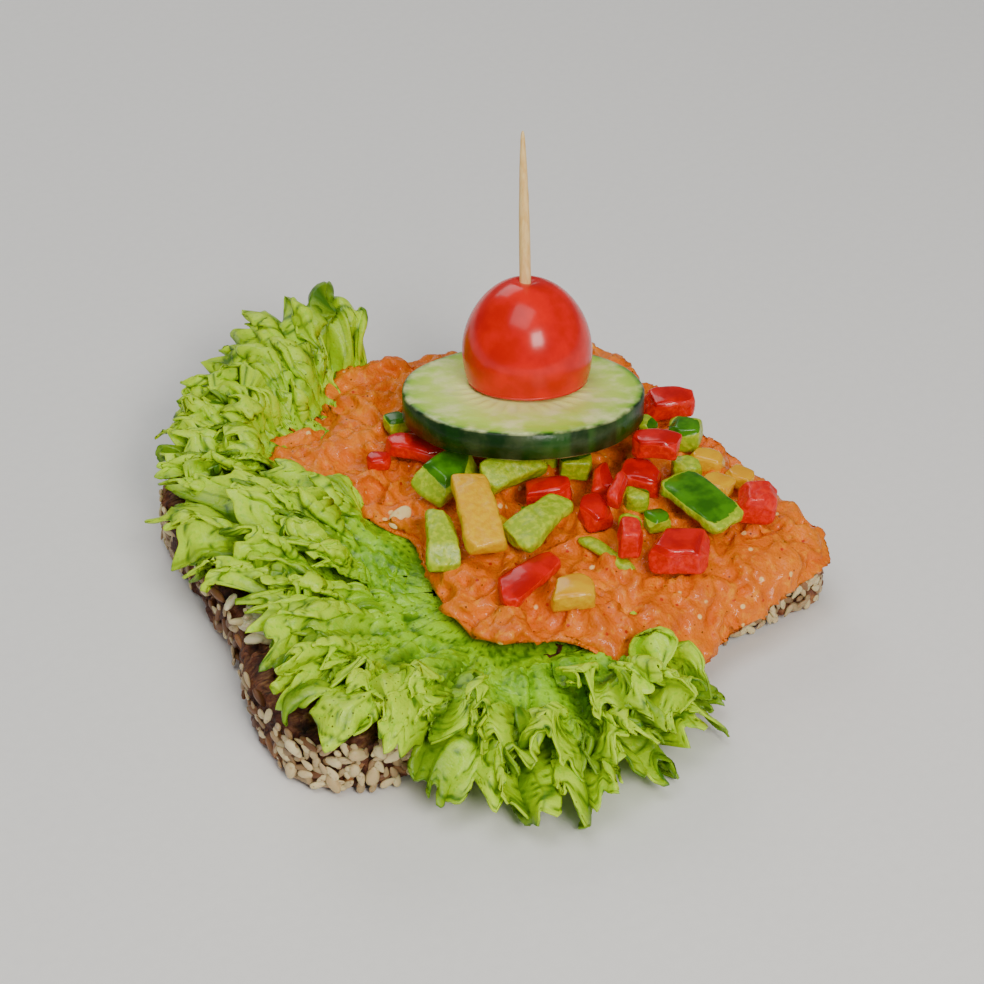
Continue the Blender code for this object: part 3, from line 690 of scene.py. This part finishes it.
def lettuce_leaf(name, centre, margin, spec, loops, settings):
    """Lay a grid out as a frilly leaf and give it its thickness."""
    columns, rows = spec["columns"], spec["rows"]
    bpy.ops.object.select_all(action="DESELECT")
    bpy.ops.mesh.primitive_grid_add(x_subdivisions=columns - 1, y_subdivisions=rows - 1, size=2)
    piece = bpy.context.object
    piece.name = name
    sheet, share, vein, fold_shade = leaf_sheet(centre, margin, spec, loops)
    places = points_of(piece)
    column = np.rint((places[:, 0] + 1) / 2 * (columns - 1)).astype(int)
    row = np.rint((places[:, 1] + 1) / 2 * (rows - 1)).astype(int)
    move_points(piece, sheet[column, row])
    paint(piece, "edge", ease((share[column, row] - 0.35) / 0.65))
    paint(piece, "vein", vein[column, row])
    paint(piece, "fold_shade", fold_shade[column, row])
    apply_modifier(piece, "SOLIDIFY", thickness=settings.leaf_thickness, offset=0)
    return piece


def seed_shape(length, width, thickness, point):
    """Model one seed from a ball: flattened, and drawn to a point at one end."""
    bpy.ops.object.select_all(action="DESELECT")
    bpy.ops.mesh.primitive_uv_sphere_add(segments=8, ring_count=6, radius=0.5)
    seed = bpy.context.object
    seed.rotation_euler = (0, math.pi / 2, 0)
    bpy.ops.object.transform_apply(location=False, rotation=True, scale=False)
    places = points_of(seed)
    narrow = 1 - point * ease(places[:, 0] + 0.5)
    places[:, 0] *= length
    places[:, 1] *= width * narrow
    places[:, 2] *= thickness * narrow
    faces = [tuple(face.vertices) for face in seed.data.polygons]
    bpy.data.objects.remove(seed)
    return places, faces


def scatter(name, shape, spots, seed):
    """Join copies of one shape, each at its own spot, size, turn and tone."""
    generator = np.random.default_rng(seed)
    places, faces = shape
    points = []
    joined = []
    tones = []
    for place, facing, along in spots:
        up = Vector(facing).normalized()
        side = up.cross(Vector(along)).normalized()
        turn = np.array(Matrix((side.cross(up), side, up)))
        size = generator.uniform(0.82, 1.14) * np.array((1, generator.uniform(0.9, 1.12), 1))
        start = len(points) * len(places)
        points.append(places * size @ turn + np.array(place))
        joined += [tuple(index + start for index in face) for face in faces]
        tones += [generator.uniform(0, 1)] * len(places)
    mesh = bpy.data.meshes.new(name)
    mesh.from_pydata(np.concatenate(points).tolist(), [], joined)
    piece = bpy.data.objects.new(name, mesh)
    bpy.context.scene.collection.objects.link(piece)
    paint(piece, "tone", tones)
    return piece


def crust_spots(loop, count, spacing, chance, seed, depth):
    """Choose spots on the crust by a chance at each place: the spot, its facing and its length's way."""
    generator = np.random.default_rng(seed)
    sides = np.roll(loop, -1, axis=0) - loop
    lengths = np.linalg.norm(sides, axis=1)
    travel = np.concatenate([[0], np.cumsum(lengths)])
    spots = []
    kept = np.empty((0, 3))
    for _ in range(count):
        way = generator.uniform(0, travel[-1])
        height = generator.uniform(0.09, 0.93) * BREAD_TOP
        index = np.searchsorted(travel, way) - 1
        side = sides[index] / lengths[index]
        place = loop[index] + side * (way - travel[index])
        raised = depth + generator.uniform(-0.15, 0.4) * MM
        facing = Vector((side[1], -side[0], 0)) + Vector(generator.uniform(-0.35, 0.35, 3))
        turn = Matrix.Rotation(generator.uniform(-3.1, 3.1), 3, facing)
        along = turn @ Vector((0, 0, 1))
        # Even a large seed that stands upright stays above the floor.
        height = max(height, 0.5 * spacing + 1.2 * MM)
        spot = np.array((*(place + np.array((side[1], -side[0])) * raised), height))
        if generator.uniform() > chance(spot[0], spot[1]):
            continue
        if len(kept) and np.linalg.norm(kept - spot, axis=1).min() < spacing:
            continue
        kept = np.vstack([kept, spot])
        spots.append((spot, facing, along))
    return spots


def sesame_chance(x, y):
    """Sesame lies thickly at the right, at the back and at the front left corner."""
    right = ease((x / MM - 2) / 12)
    corner = ease((-x / MM - 26) / 10) * ease((-y / MM - 30) / 8)
    back = ease((y / MM - 22) / 8)
    return max(0.05, float(right), 0.8 * float(corner), 0.85 * float(back))


def corner_chance(x, y):
    """Large seeds lie at the front left corner."""
    return float(ease((-x / MM - 30) / 8) * ease((-y / MM - 34) / 6)) + 0.02


def grain_chance(x, y):
    """Toasted grains lie along the left side."""
    return 0.55 * float(ease((-x / MM - 20) / 15)) + 0.05


# Seeds on the crust. Each row holds a name; the length, width and thickness in sesame lengths; how far one
# end is drawn to a point; the chance at a place; how many are tried; the least gap between them in sesame
# lengths; how far they stand out in millimetres; the seed of the draws; and the material's values.
CRUST_SEEDS = (
    ("sesame_seeds", (1, 0.62, 0.34), 0.45, sesame_chance, 9000, 0.43, 0.25, 11,
     ("hulled_sesame", "#e8d4a0", "#8c6a44")),
    ("large_seeds", (1.25, 0.85, 0.6), 0.3, corner_chance, 500, 0.95, 0.5, 21,
     ("large_pale_seed", "#ead9a8", "#c4a673")),
    ("toasted_grains", (1.5, 0.6, 0.5), 0.25, grain_chance, 900, 0.9, -0.1, 31,
     ("toasted_rye_grain", "#9c6a3c", "#5a3217", 0.5)),
)


class BreadSettings(bpy.types.PropertyGroup):
    """Sizes and colours of the bread."""

    relief: FloatProperty(
        name="Relief", description="Depth of the crumb's roughness", default=0.7 * MM, unit="LENGTH")
    seed_length: FloatProperty(
        name="Seed length", description="Length of a sesame seed", default=2.9 * MM, unit="LENGTH")
    crumb_colour: StringProperty(name="Crumb", description="Colour of the crumb", default="#86492a")
    # The pore colour is painted shade in the crumb's low spots.
    pore_shade_colour: StringProperty(name="Pores", description="Colour deep in the crumb", default="#3a1e0f")
    ridge_colour: StringProperty(name="Ridges", description="Colour of the crumb's ridges", default="#b07a4c")


class LettuceSettings(bpy.types.PropertyGroup):
    """Sizes and colours of the lettuce."""

    leaf_thickness: FloatProperty(
        name="Thickness", description="Leaf thickness", default=0.42 * MM, unit="LENGTH")
    leaf_colour: StringProperty(name="Leaf", description="Colour of the leaf", default="#a0da08")
    deep_tone_and_shade_colour: StringProperty(
        name="Deep", description="Colour of the leaf's darker parts", default="#70aa08")
    margin_colour: StringProperty(name="Margin", description="Colour at the margin", default="#c4ec18")
    # The vein colour is also the painted shade deep in the leaf's folds.
    vein_and_fold_shade_colour: StringProperty(name="Vein", description="Colour of the veins", default="#3f7008")


class SpreadSettings(bpy.types.PropertyGroup):
    """Sizes and colours of the spread."""

    lump_depth: FloatProperty(name="Lumps", description="Depth of the lumps", default=1.1 * MM, unit="LENGTH")
    spread_colour: StringProperty(name="Spread", description="Colour of the spread", default="#f28000")
    # The spread's deep colour is painted shade for its hollows.
    deep_tone_and_shade_colour: StringProperty(name="Deep", description="Colour in its hollows", default="#e46a00")
    pale_colour: StringProperty(name="Pale", description="Colour of its pale grains", default="#fa9a14")


class ToppingSettings(bpy.types.PropertyGroup):
    """Colours of the cucumber, the tomato and the pick."""

    rind_colour: StringProperty(name="Rind", description="Colour of the cucumber's rind", default="#062c02")
    tomato_colour: StringProperty(name="Tomato", description="Colour of the tomato's skin", default="#f00e00")
    tomato_deep: StringProperty(name="Tomato, deep", description="Its darker colour", default="#d40600")
    pick_colour: StringProperty(name="Pick", description="Colour of the pick's wood", default="#ffd890")


class StageSettings(bpy.types.PropertyGroup):
    """The floor, the lights and the camera."""

    azimuth: FloatProperty(
        name="Azimuth", description="Camera's heading", default=math.radians(-31), unit="ROTATION")
    elevation: FloatProperty(
        name="Elevation", description="Camera's height angle", default=math.radians(36), unit="ROTATION")
    distance: FloatProperty(name="Distance", description="Camera's distance", default=0.48, unit="LENGTH")
    target: FloatVectorProperty(
        name="Target", description="Point looked at", default=(0.0122, 0.00245, 0.011), subtype="TRANSLATION")
    lens: FloatProperty(name="Lens", description="Focal length in millimetres", default=97.56)
    floor_colour: StringProperty(name="Floor", description="Colour of the floor", default="#f0efec")


GROUPS = {
    "sandwich_bread": BreadSettings,
    "sandwich_lettuce": LettuceSettings,
    "sandwich_spread": SpreadSettings,
    "sandwich_topping": ToppingSettings,
    "sandwich_stage": StageSettings,
}


class SANDWICH_OT_bread(bpy.types.Operator):
    """Make the slice of bread"""

    bl_idname = "sandwich.bread"
    bl_label = "Bread slice"

    def execute(self, context):
        settings = context.scene.sandwich_bread
        piece = copy_node("bread_slice", "seeded_bread_slice")
        apply_modifier(piece, "REMESH", mode="VOXEL", voxel_size=0.6 * MM)
        places = points_of(piece)
        # The underside stays flat, and the roughness sets in just above it.
        body = ease(places[:, 2] / (1.2 * MM))
        roughen(piece, ((9 * MM, 0.9 * MM, 1), (3.2 * MM, 0.8 * settings.relief, 2)), body)
        roughen(piece, ((1.5 * MM, settings.relief, 3), (0.8 * MM, 0.45 * settings.relief, 4)), body)
        places = points_of(piece)
        pits = soft_noise(places, 2.6 * MM, 5)
        hollow_and_painted_shade = ease((pits - 0.35) / 0.3) * body
        places -= normals_of(piece) * (hollow_and_painted_shade * 0.9 * MM)[:, None]
        places[:, 2] = np.maximum(places[:, 2], 0)
        move_points(piece, places)
        # Painted shade: the mask that sinks the pits also darkens them in the crumb's colour.
        paint(piece, "hollow_and_painted_shade", hollow_and_painted_shade * 0.7)
        finish_piece(piece, crumb_material(settings), "bread", "bread_slice")
        return {"FINISHED"}


class SANDWICH_OT_seeds(bpy.types.Operator):
    """Scatter the seeds and grains on the crust"""

    bl_idname = "sandwich.seeds"
    bl_label = "Seeds and grains"

    def execute(self, context):
        settings = context.scene.sandwich_bread
        loop = outline("bread_slice", 1 * MM, 10 * MM)
        length = settings.seed_length
        for name, shares, point, chance, count, gap, out, seed, finish in CRUST_SEEDS:
            shape = seed_shape(*(share * length for share in shares), point)
            spots = crust_spots(loop, count, gap * length, chance, seed, out * MM)
            seeds = scatter(name, shape, spots, seed + 1)
            finish_piece(seeds, seed_material(*finish), "bread")
        self.pale_grains(length)
        return {"FINISHED"}

    def pale_grains(self, length):
        """Heap a few boiled grains on the bread's left edge."""
        generator = np.random.default_rng(41)
        heap = np.array((-42.3, -9, BREAD_TOP / MM + 0.6))
        spots = []
        for _ in range(22):
            place = heap + generator.normal(0, 1, 3) * (1.2, 3, 0.5)
            facing = (*generator.uniform(-0.5, 0.5, 2), 1)
            spots.append((place * MM, facing, (*generator.uniform(-1, 1, 2), 0)))
        shape = seed_shape(1.3 * length, 0.6 * length, 0.5 * length, 0.15)
        grains = scatter("boiled_pale_grains", shape, spots, 42)
        finish_piece(grains, seed_material("boiled_pale_grain", "#f4ecc8", "#d8c48c"), "bread")


class SANDWICH_OT_lettuce(bpy.types.Operator):
    """Make the frilly lettuce leaves"""

    bl_idname = "sandwich.lettuce"
    bl_label = "Lettuce"

    def execute(self, context):
        settings = context.scene.sandwich_lettuce
        material = lettuce_material(settings)
        loops = (outline("bread_slice", 1 * MM, 10 * MM), outline("tomato_spread"))
        for name, centre, margin, node, *numbers in LAYERS:
            spec = dict(zip(LAYER_NUMBERS, numbers))
            piece = lettuce_leaf(name, centre, margin, spec, loops, settings)
            finish_piece(piece, material, "lettuce", *([node] if node else []))
        return {"FINISHED"}


class SANDWICH_OT_spread(bpy.types.Operator):
    """Make the lumpy spread"""

    bl_idname = "sandwich.spread"
    bl_label = "Spread"

    def execute(self, context):
        settings = context.scene.sandwich_spread
        piece = copy_node("tomato_spread", "pepper_spread")
        apply_modifier(piece, "REMESH", mode="VOXEL", voxel_size=0.5 * MM)
        places = points_of(piece)
        # The paste reaches a little past its CAD solid, and sags over the bread's front edge.
        centre = np.array((18, -3, 0)) * MM
        places = centre + (places - centre) * (1.025, 1.025, 1)
        outside = distance_outside(outline("bread_slice", 1 * MM, 10 * MM), places[:, 0], places[:, 1])
        front = ease((-places[:, 1] / MM - 36) / 6)
        places[:, 2] -= 5 * MM * ease((outside + 2 * MM) / (8 * MM)) * front
        places[:, 1] -= 1.6 * MM * front
        move_points(piece, places)
        depth = settings.lump_depth
        up = ease((normals_of(piece)[:, 2] + 0.6) / 0.6)
        roughen(piece, ((7 * MM, 0.9 * depth, 41),), up)
        wrinkle(piece, 5.5 * MM, 1.3 * depth, 42, up)
        wrinkle(piece, 3 * MM, 0.8 * depth, 43, up)
        roughen(piece, ((1.5 * MM, 0.4 * depth, 44),), up)
        self.cling(piece)
        # Painted shade: darker spots for the creases, from a noise of their own.
        hollow_and_painted_shade = ease((-soft_noise(points_of(piece), 2.8 * MM, 42) - 0.25) / 0.5)
        paint(piece, "hollow_and_painted_shade", hollow_and_painted_shade * 0.5)
        finish_piece(piece, spread_material(settings), "orange_spread", "tomato_spread")
        self.pale_seed(piece)
        return {"FINISHED"}

    def pale_seed(self, spread):
        """Lay one pale pepper seed on the spread."""
        place = face_tree(spread).ray_cast(Vector((-8.8, -1.4, 40)) * MM, -UP)[0]
        shape = seed_shape(4.8 * MM, 4.2 * MM, 1.4 * MM, 0.2)
        seed = scatter("pale_pepper_seed", shape, [(place, (-0.3, -0.3, 1), (1, 0.5, 0))], 51)
        subdivide(seed, 1)
        finish_piece(seed, seed_material("pale_pepper_seed", "#fbe09a", "#e8b860"), "orange_spread")

    def cling(self, piece):
        """Draw the spread up a little round each piece of pepper that lies on it."""
        reach = 3 * MM
        trees = [face_tree(item) for name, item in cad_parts.items() if "pepper" in name]
        places = points_of(piece)
        for index, place in enumerate(places):
            gaps = [tree.find_nearest(Vector(place), reach)[3] for tree in trees]
            gap = min((gap for gap in gaps if gap), default=reach)
            places[index, 2] += 0.9 * MM * math.exp(-(gap / (1.3 * MM)) ** 2)
        move_points(piece, places)


class SANDWICH_OT_peppers(bpy.types.Operator):
    """Make the diced peppers"""

    bl_idname = "sandwich.peppers"
    bl_label = "Diced peppers"

    def execute(self, context):
        materials = {
            colour: pepper_material(f"sweet_{colour}_pepper", *tones) for colour, tones in PEPPERS.items()
        }
        nodes = sorted(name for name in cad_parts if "pepper_" in name)
        for seed, node in enumerate(nodes):
            colour = node.split("_")[0]
            piece = copy_node(node, node.replace("_pepper_", "_pepper_dice_"))
            subdivide(piece, 2)
            generator = np.random.default_rng(seed)
            for heading, tilt, keep in CUTS.get(node, ()):
                slice_off(piece, heading, tilt, keep)
            for _ in range(0 if node in CUTS else 4):
                heading = generator.uniform(0, 360)
                tilt = generator.uniform(-8, 50)
                slice_off(piece, heading, tilt, generator.uniform(0.7, 0.9))
            apply_modifier(piece, "REMESH", mode="VOXEL", voxel_size=0.26 * MM)
            apply_modifier(piece, "SMOOTH", factor=0.5, iterations=1)
            self.finish_dice(piece, node, seed)
            finish_piece(piece, materials[colour], f"{colour}_pepper", node)
        return {"FINISHED"}

    def finish_dice(self, piece, node, seed):
        """Paint the skin side of a piece and roughen its flesh."""
        places = points_of(piece)
        middle = (places.max(axis=0) + places.min(axis=0)) / 2
        # The skin is one flat side, across the piece's thinnest direction.
        thin = np.linalg.svd(places - places.mean(axis=0), full_matrices=False)[2][2]
        thin = thin * (1 if thin[2] > 0 else -1) * (-1 if node in FLESH_UP else 1)
        height = (places - middle) @ thin
        height /= np.abs(height).max()
        facing = normals_of(piece) @ thin
        skin = ease((height - 0.45) / 0.3) * ease((facing + 0.2) / 0.5)
        paint(piece, "skin", skin)
        roughen(piece, ((2.6 * MM, 0.22 * MM, 60 + seed), (1.1 * MM, 0.12 * MM, 90 + seed)), 1 - 0.8 * skin)


class SANDWICH_OT_cucumber(bpy.types.Operator):
    """Make the cucumber slice"""

    bl_idname = "sandwich.cucumber"
    bl_label = "Cucumber slice"

    def execute(self, context):
        centre, axes, extent = main_axes("cucumber_slice")
        radius, thickness = extent[0] / 2, extent[2]
        bpy.ops.object.select_all(action="DESELECT")
        bpy.ops.mesh.primitive_cylinder_add(vertices=192, radius=radius - 0.1 * MM, depth=thickness)
        piece = context.object
        piece.name = "cut_cucumber_slice"
        bpy.ops.object.mode_set(mode="EDIT")
        bpy.ops.mesh.select_mode(type="FACE")
        bpy.ops.object.mode_set(mode="OBJECT")
        for face in piece.data.polygons:
            face.select = abs(face.normal.z) > 0.9
        bpy.ops.object.mode_set(mode="EDIT")
        # Rings from the rim to the middle give both cut faces enough points for their relief.
        for ring in (0.45, *[0.84] * 24, 0.3):
            bpy.ops.mesh.inset(thickness=ring * MM)
        bpy.ops.object.mode_set(mode="OBJECT")
        self.shape(piece, radius)
        piece.matrix_world = Matrix.Translation(centre) @ axes.to_4x4()
        finish_piece(piece, cucumber_material(context.scene.sandwich_topping), "cucumber", "cucumber_slice")
        return {"FINISHED"}

    def shape(self, piece, radius):
        """Give the slice its uneven outline, soft cut edges and seed chambers."""
        places = points_of(piece)
        heading = np.arctan2(places[:, 1], places[:, 0])
        out = np.hypot(places[:, 0], places[:, 1]) / radius
        side = np.sign(places[:, 2])
        rim = ease((out - 0.972) / 0.028)
        facets = 0.004 * np.cos(9 * heading) + 0.003 * np.cos(5 * heading + 1)
        places[:, :2] *= (1 + facets * out)[:, None]
        places[:, 2] -= side * 0.35 * MM * rim
        # The seed chambers are sunk in three lobes round the middle, with a ring of seeds in them.
        lobes = np.cos(1.5 * heading) ** 2
        chamber = ease((0.52 + 0.1 * lobes - out) / 0.08)
        seed = ease((np.cos(heading * 27 + 2 * np.sin(out * 9)) - 0.2) / 0.6)
        seed = seed * np.exp(-((out - 0.46) / 0.075) ** 2)
        places[:, 2] += side * (0.22 * MM * seed - 0.12 * MM * chamber)
        wet = soft_noise(places, 3 * MM, 71) * 0.12 * MM + soft_noise(places, 1.2 * MM, 72) * 0.05 * MM
        places[:, 2] += side * wet * (1 - rim)
        move_points(piece, places)
        paint(piece, "out", out)
        paint(piece, "seed", seed * 0.3)
        paint(piece, "rind", ease((out - 0.985) / 0.012))
        rind = np.stack([heading * 9, np.zeros_like(out), places[:, 2] * 60], axis=-1)
        paint(piece, "streak", ease((soft_noise(rind, 1, 73) - 0.1) / 0.6))


def main_axes(node):
    """A node's centre, its main directions from longest to shortest as a matrix, and its extents."""
    places = np.array([vert.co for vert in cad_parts[node].data.vertices])
    axes = np.linalg.svd(places - places.mean(axis=0), full_matrices=False)[2]
    if axes[2][2] < 0:
        axes[2] *= -1
    axes[1] = np.cross(axes[2], axes[0])
    along = places @ axes.T
    middle = (along.max(axis=0) + along.min(axis=0)) / 2
    return Vector(middle @ axes), Matrix(axes.T.tolist()), along.max(axis=0) - along.min(axis=0)


class SANDWICH_OT_tomato(bpy.types.Operator):
    """Make the half cherry tomato"""

    bl_idname = "sandwich.tomato"
    bl_label = "Cherry tomato"

    def execute(self, context):
        axes = main_axes("cucumber_slice")[1]
        node = points_of(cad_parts["cherry_tomato_half"]) @ np.array(axes)
        low = node.min(axis=0)
        high = node.max(axis=0)
        radius = (high[0] - low[0]) / 2
        bpy.ops.object.select_all(action="DESELECT")
        bpy.ops.mesh.primitive_uv_sphere_add(segments=128, ring_count=96, radius=1)
        piece = context.object
        piece.name = "cherry_tomato_dome"
        # The ball is cut a little below its middle.
        cut = math.cos(math.radians(112))
        bpy.ops.object.mode_set(mode="EDIT")
        bpy.ops.mesh.select_all(action="SELECT")
        bpy.ops.mesh.bisect(plane_co=(0, 0, cut), plane_no=UP, use_fill=True, clear_inner=True)
        bpy.ops.mesh.bevel(offset=0.03, segments=4)
        bpy.ops.object.mode_set(mode="OBJECT")
        places = points_of(piece)
        share = (places[:, 2] - cut) / (1 - cut)
        places[:, 2] = share * (high[2] - low[2])
        places[:, :2] *= radius
        out = np.hypot(places[:, 0], places[:, 1])
        # A dimple where the pick goes in.
        places[:, 2] -= 0.9 * MM * np.exp(-(out / (1.9 * MM)) ** 2) * (share > 0.5)
        places += soft_noise(places, 8 * MM, 81)[:, None] * 0.12 * MM * (places / radius)
        move_points(piece, places)
        paint(piece, "cut", ease((0.03 - share) / 0.03))
        centre = Vector(((low[0] + high[0]) / 2, (low[1] + high[1]) / 2, low[2]))
        piece.matrix_world = Matrix.Translation(axes @ centre) @ axes.to_4x4()
        finish_piece(piece, tomato_material(context.scene.sandwich_topping), "tomato", "cherry_tomato_half")
        return {"FINISHED"}


class SANDWICH_OT_pick(bpy.types.Operator):
    """Make the wooden cocktail pick"""

    bl_idname = "sandwich.pick"
    bl_label = "Cocktail pick"

    def execute(self, context):
        piece = copy_node("cocktail_pick", "birch_cocktail_pick")
        subdivide(piece, 2)
        roughen(piece, ((0.8 * MM, 0.05 * MM, 91),))
        finish_piece(piece, wood_material(context.scene.sandwich_topping), "pick_wood", "cocktail_pick")
        return {"FINISHED"}


class SANDWICH_OT_stage(bpy.types.Operator):
    """Make the floor, the lights and the camera"""

    bl_idname = "sandwich.stage"
    bl_label = "Stage"

    def execute(self, context):
        settings = context.scene.sandwich_stage
        bpy.ops.object.select_all(action="DESELECT")
        bpy.ops.mesh.primitive_plane_add(size=6, location=(0, 0, 0))
        floor = context.object
        floor.name = "floor"
        floor.data.materials.append(floor_material(settings))
        world = context.scene.world or bpy.data.worlds.new("studio")
        context.scene.world = world
        world.use_nodes = True
        background = world.node_tree.nodes["Background"]
        set_inputs(world.node_tree, background, {"Color": "#f4f6fa", "Strength": 0.17})
        self.add_light("key", (-0.086, -0.614, 0.505), 0.26, 4.3, "#fffaf2")
        self.add_light("top", (-0.2, -0.12, 0.76), 0.5, 2.5, "#ffffff")
        self.add_light("back", (0.1, 0.65, 0.5), 0.4, 1.4, "#ffffff")
        self.add_camera(settings)
        return {"FINISHED"}

    def add_light(self, name, place, size, power, colour):
        """Add a soft square light that faces the sandwich."""
        light = bpy.data.lights.new(name, "AREA")
        light.size = size
        light.energy = power
        light.color = linear(colour)[:3]
        item = bpy.data.objects.new(name, light)
        bpy.context.scene.collection.objects.link(item)
        item.location = place
        item.rotation_euler = (Vector(place) - Vector((0, 0, 0.02))).to_track_quat("Z", "Y").to_euler()

    def add_camera(self, settings):
        """Add the camera at its heading, height angle and distance from the target."""
        camera = bpy.data.cameras.new("camera")
        camera.lens = settings.lens
        camera.clip_start = 0.01
        item = bpy.data.objects.new("camera", camera)
        bpy.context.scene.collection.objects.link(item)
        flat = math.cos(settings.elevation)
        side = math.sin(settings.azimuth) * flat
        depth = -math.cos(settings.azimuth) * flat
        back = Vector((side, depth, math.sin(settings.elevation)))
        item.location = Vector(settings.target) + back * settings.distance
        item.rotation_euler = back.to_track_quat("Z", "Y").to_euler()
        bpy.context.scene.camera = item


OPERATORS = (
    SANDWICH_OT_bread, SANDWICH_OT_seeds, SANDWICH_OT_lettuce, SANDWICH_OT_spread, SANDWICH_OT_peppers,
    SANDWICH_OT_cucumber, SANDWICH_OT_tomato, SANDWICH_OT_pick, SANDWICH_OT_stage,
)


class SANDWICH_PT_panel(bpy.types.Panel):
    """Lists the sandwich's pieces and their settings"""

    bl_idname = "SANDWICH_PT_panel"
    bl_label = "Open Sandwich"
    bl_space_type = "VIEW_3D"
    bl_region_type = "UI"
    bl_category = "Sandwich"

    def draw(self, context):
        for operator in OPERATORS:
            self.layout.operator(operator.bl_idname)
        for name, group in GROUPS.items():
            box = self.layout.box()
            for prop in group.__annotations__:
                box.prop(getattr(context.scene, name), prop)


CLASSES = (*GROUPS.values(), *OPERATORS, SANDWICH_PT_panel)


def register():
    for item in CLASSES:
        bpy.utils.register_class(item)
    for name, group in GROUPS.items():
        setattr(bpy.types.Scene, name, PointerProperty(type=group))


def unregister():
    for name in GROUPS:
        delattr(bpy.types.Scene, name)
    for item in reversed(CLASSES):
        bpy.utils.unregister_class(item)


def main():
    """Register the add-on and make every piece."""
    register()
    bpy.ops.sandwich.bread()
    bpy.ops.sandwich.seeds()
    bpy.ops.sandwich.lettuce()
    bpy.ops.sandwich.spread()
    bpy.ops.sandwich.peppers()
    bpy.ops.sandwich.cucumber()
    bpy.ops.sandwich.tomato()
    bpy.ops.sandwich.pick()
    bpy.ops.sandwich.stage()


if __name__ == "__main__":
    main()
